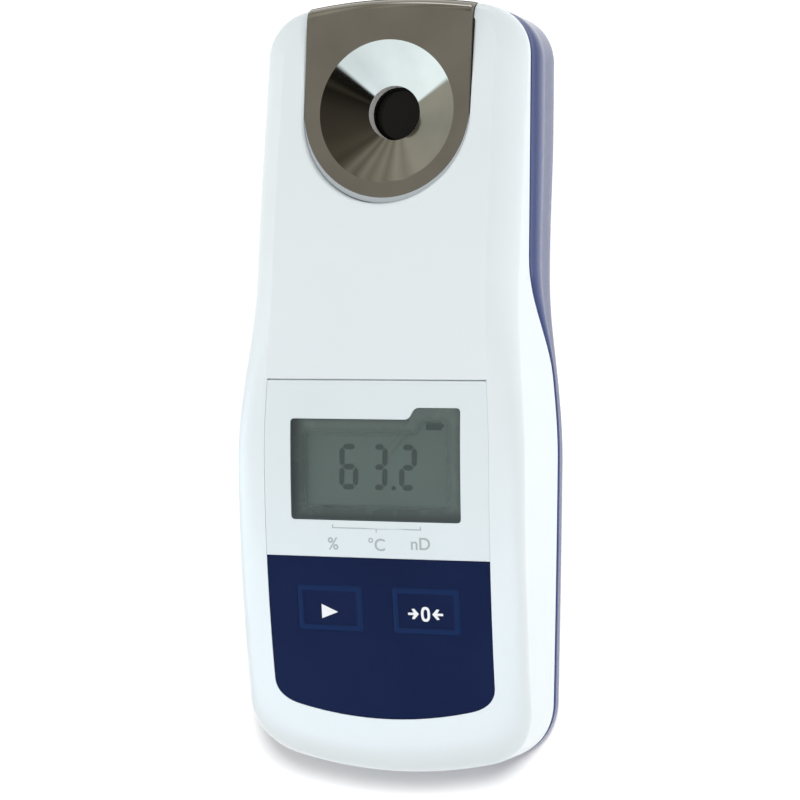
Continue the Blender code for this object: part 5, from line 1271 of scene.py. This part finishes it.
# Degrees round the dish, and the red, green and blue light of the card there
CARD = ((-124, 0.50, 0.48, 0.42), (-119, 0.95, 0.93, 0.88), (-113, 0.62, 0.60, 0.56), (-107, 1.15, 1.15, 1.1),
        (-101, 0.85, 0.85, 0.80), (-94, 1.25, 1.28, 1.2), (-88, 0.9, 0.9, 0.85), (-80, 1.5, 1.55, 1.5),
        (-72, 1.15, 1.2, 1.15), (-63, 1.65, 1.7, 1.65), (-52, 1.6, 1.68, 1.66), (-20, 1.5, 1.6, 1.6),
        (10, 1.75, 1.85, 1.85), (22, 1.7, 1.8, 1.8), (26, 5.1, 6.25, 7.6), (90, 4.9, 6.0, 7.4),
        (122, 4.2, 5.1, 6.4), (138, 4.6, 5.6, 7.0), (142, 0.05, 0.046, 0.042), (152, 0.05, 0.046, 0.042),
        (157, 0.17, 0.16, 0.14), (162, 0.07, 0.065, 0.06), (178, 0.16, 0.15, 0.14), (208, 0.25, 0.24, 0.21),
        (222, 0.36, 0.34, 0.30), (230, 0.30, 0.28, 0.25), (236, 0.50, 0.48, 0.42))


def camera():
    """Looks at the case from the photograph's side and distance."""
    back = Vector((math.sin(CAMERA_TURN) * math.cos(CAMERA_RISE), -math.sin(CAMERA_RISE),
                   math.cos(CAMERA_TURN) * math.cos(CAMERA_RISE)))
    level = Vector((0, 1, 0)).cross(back).normalized()
    rise = back.cross(level)
    right = level * math.cos(CAMERA_ROLL) - rise * math.sin(CAMERA_ROLL)
    up = level * math.sin(CAMERA_ROLL) + rise * math.cos(CAMERA_ROLL)
    lens = bpy.data.cameras.new("camera")
    lens.sensor_width = 36
    lens.lens = PHOTO_SCALE * CAMERA_DISTANCE * 1000 / PHOTO_SIZE * lens.sensor_width
    lens.shift_x = (PHOTO_SIZE / 2 - PHOTO_CENTRE[0]) / PHOTO_SIZE
    lens.shift_y = (PHOTO_CENTRE[1] - PHOTO_SIZE / 2) / PHOTO_SIZE
    lens.clip_start = 0.01
    eye = placed("camera", lens)
    place = Matrix((right, up, back)).transposed().to_4x4()
    place.translation = CAMERA_TARGET + back * CAMERA_DISTANCE
    eye.matrix_world = place
    bpy.context.scene.camera = eye


def lamp(name, place, target, size, power, receiver, state):
    """A soft rectangular light, unseen by gloss, that faces its target and reaches one object alone, or
    everything but that object."""
    light = bpy.data.lights.new(name, "AREA")
    light.shape, light.size, light.size_y, light.energy = "RECTANGLE", *size, power
    thing = placed(name, light)
    place, target = Vector(place), Vector(target)
    turn = (place - target).to_track_quat("Z", "Y").to_matrix().to_4x4()
    thing.matrix_world = Matrix.Translation(place) @ turn
    thing.visible_glossy = False
    group = bpy.data.collections.new(name + "_receivers")
    group.objects.link(receiver)
    thing.light_linking.receiver_collection = group
    group.collection_objects[0].light_linking.link_state = state


def backdrop():
    """A white room for the eye, gloss and glass, and a softer one for the light it sheds."""
    world = bpy.data.worlds.new("room")
    bpy.context.scene.world = world
    world.use_nodes = True
    nodes, links = world.node_tree.nodes, world.node_tree.links
    shed, seen = nodes["Background"], nodes.new("ShaderNodeBackground")
    shed.inputs["Color"].default_value = (1, 1, 1, 1)
    shed.inputs["Strength"].default_value = ROOM_LIGHT
    seen.inputs["Color"].default_value = (1, 1, 1, 1)
    seen.inputs["Strength"].default_value = 1.0
    path = nodes.new("ShaderNodeLightPath")
    first, second = nodes.new("ShaderNodeMath"), nodes.new("ShaderNodeMath")
    first.operation = second.operation = "MAXIMUM"
    links.new(path.outputs["Is Camera Ray"], first.inputs[0])
    links.new(path.outputs["Is Glossy Ray"], first.inputs[1])
    links.new(first.outputs[0], second.inputs[0])
    links.new(path.outputs["Is Transmission Ray"], second.inputs[1])
    mix = nodes.new("ShaderNodeMixShader")
    links.new(second.outputs[0], mix.inputs[0])
    links.new(shed.outputs[0], mix.inputs[1])
    links.new(seen.outputs[0], mix.inputs[2])
    links.new(mix.outputs[0], nodes["World Output"].inputs["Surface"])


def floor():
    """A plain white floor that keeps the shadow: lit white, with a little glow for the eye and gloss."""
    points = np.array(rectangle(-FLOOR_HALF, FLOOR_HALF, -FLOOR_HALF, FLOOR_HALF))
    mesh = bpy.data.meshes.new("floor")
    mesh.from_pydata(ring(points, -FLOOR_GAP), [], [(0, 1, 2, 3)])
    thing = placed("floor", mesh)
    kit = Kit("floor_white", Roughness=1.0, Specular_IOR_Level=0.0)
    kit.colour(shade(240, 240, 240))
    kit.set(kit.shader.inputs["Emission Color"], (1, 1, 1, 1))
    path = kit.node("LightPath")
    seen = kit.most(*(path.outputs[f"Is {kind} Ray"] for kind in ("Camera", "Glossy", "Transmission")))
    kit.set(kit.shader.inputs["Emission Strength"], kit.maths("MULTIPLY", seen, FLOOR_GLOW))
    mesh.materials.append(kit.made)
    return thing


def mirror_ways(turns):
    """For each turn round the dish, the way in which its cone mirrors the photograph's viewpoint:
    the way to the viewpoint, turned over on the cone's normal."""
    slope = math.atan(DISH_DEPTH / (DISH_RIM - DISH_FLOOR))
    radius = (DISH_RIM + DISH_FLOOR) / 2
    out = np.stack([np.cos(turns), np.sin(turns), np.zeros(len(turns))], 1)
    normal = -out * math.sin(slope) + np.array([0, 0, math.cos(slope)])
    place = out * radius + np.array([0, DISH_Y, STAGE_HEIGHT - DISH_DEPTH / 2])
    way = np.array(bpy.context.scene.camera.matrix_world.translation) - place
    way = unit(way)
    return place, 2 * (way * normal).sum(1)[:, None] * normal - way


def dish_card():
    """A bent card that only gloss sees, standing all round where the dish's cone mirrors the viewpoint:
    white on one side, black beside it and grey beyond. Each cross line is the mirrored way, spread to
    both sides by an angle."""
    turns = np.radians(np.linspace(CARD[0][0], CARD[-1][0], 361))
    place, way = mirror_ways(turns)
    across = unit(np.cross(way, np.gradient(way, axis=0)))
    rows = [place + (way + across * spread) * CARD_DISTANCE for spread in (-CARD_SPREAD, CARD_SPREAD)]
    angle, *light = np.array(CARD).T
    gloss_card("dish_card", rows, np.stack([np.interp(np.degrees(turns), angle, tone) for tone in light], 1))


def end_card():
    """A low white card beyond the head that brightens the stage's turned-down end on its right."""
    rows = [np.array([(x, END_CARD_Y, z) for x in END_CARD_X]) for z in END_CARD_Z]
    gloss_card("end_card", rows, np.outer(END_CARD_LIGHT, END_CARD_TINT))


def gloss_card(name, rows, glow):
    """A card between two rows of points, with a light for each point along them, that gloss alone sees."""
    mesh = bpy.data.meshes.new(name)
    mesh.from_pydata(np.concatenate(rows), [], grid_faces(2, len(glow)).tolist())
    colours = np.tile(np.column_stack([glow, np.ones(len(glow))]), (2, 1))
    attribute = mesh.attributes.new("glow", "FLOAT_COLOR", "POINT")
    attribute.data.foreach_set("color", colours.ravel().astype(np.float32))
    made = bpy.data.materials.new(name + "_light")
    made.use_nodes = True
    nodes, links = made.node_tree.nodes, made.node_tree.links
    nodes.remove(nodes["Principled BSDF"])
    light, share = nodes.new("ShaderNodeEmission"), nodes.new("ShaderNodeAttribute")
    share.attribute_name = "glow"
    links.new(share.outputs["Color"], light.inputs["Color"])
    links.new(light.outputs[0], nodes["Material Output"].inputs["Surface"])
    mesh.materials.append(made)
    thing = placed(name, mesh)
    thing.visible_camera = thing.visible_diffuse = thing.visible_shadow = thing.visible_transmission = False


def studio():
    """Soft lamps: one from the head that shapes the shadow on the floor, and wide ones for the case."""
    bpy.context.scene.view_settings.view_transform = "Standard"
    camera()
    backdrop()
    ground = floor()
    lamp("shadow_light", *SHADOW_LAMP, ground, "INCLUDE")
    for name, settings in LAMPS.items():
        lamp(name, *settings, ground, "EXCLUDE")
    dish_card()
    end_card()


studio()
front_case()
rear_case()
stage()
panels()
keys()
display_marks()
label_marks()
key_marks()
carried()
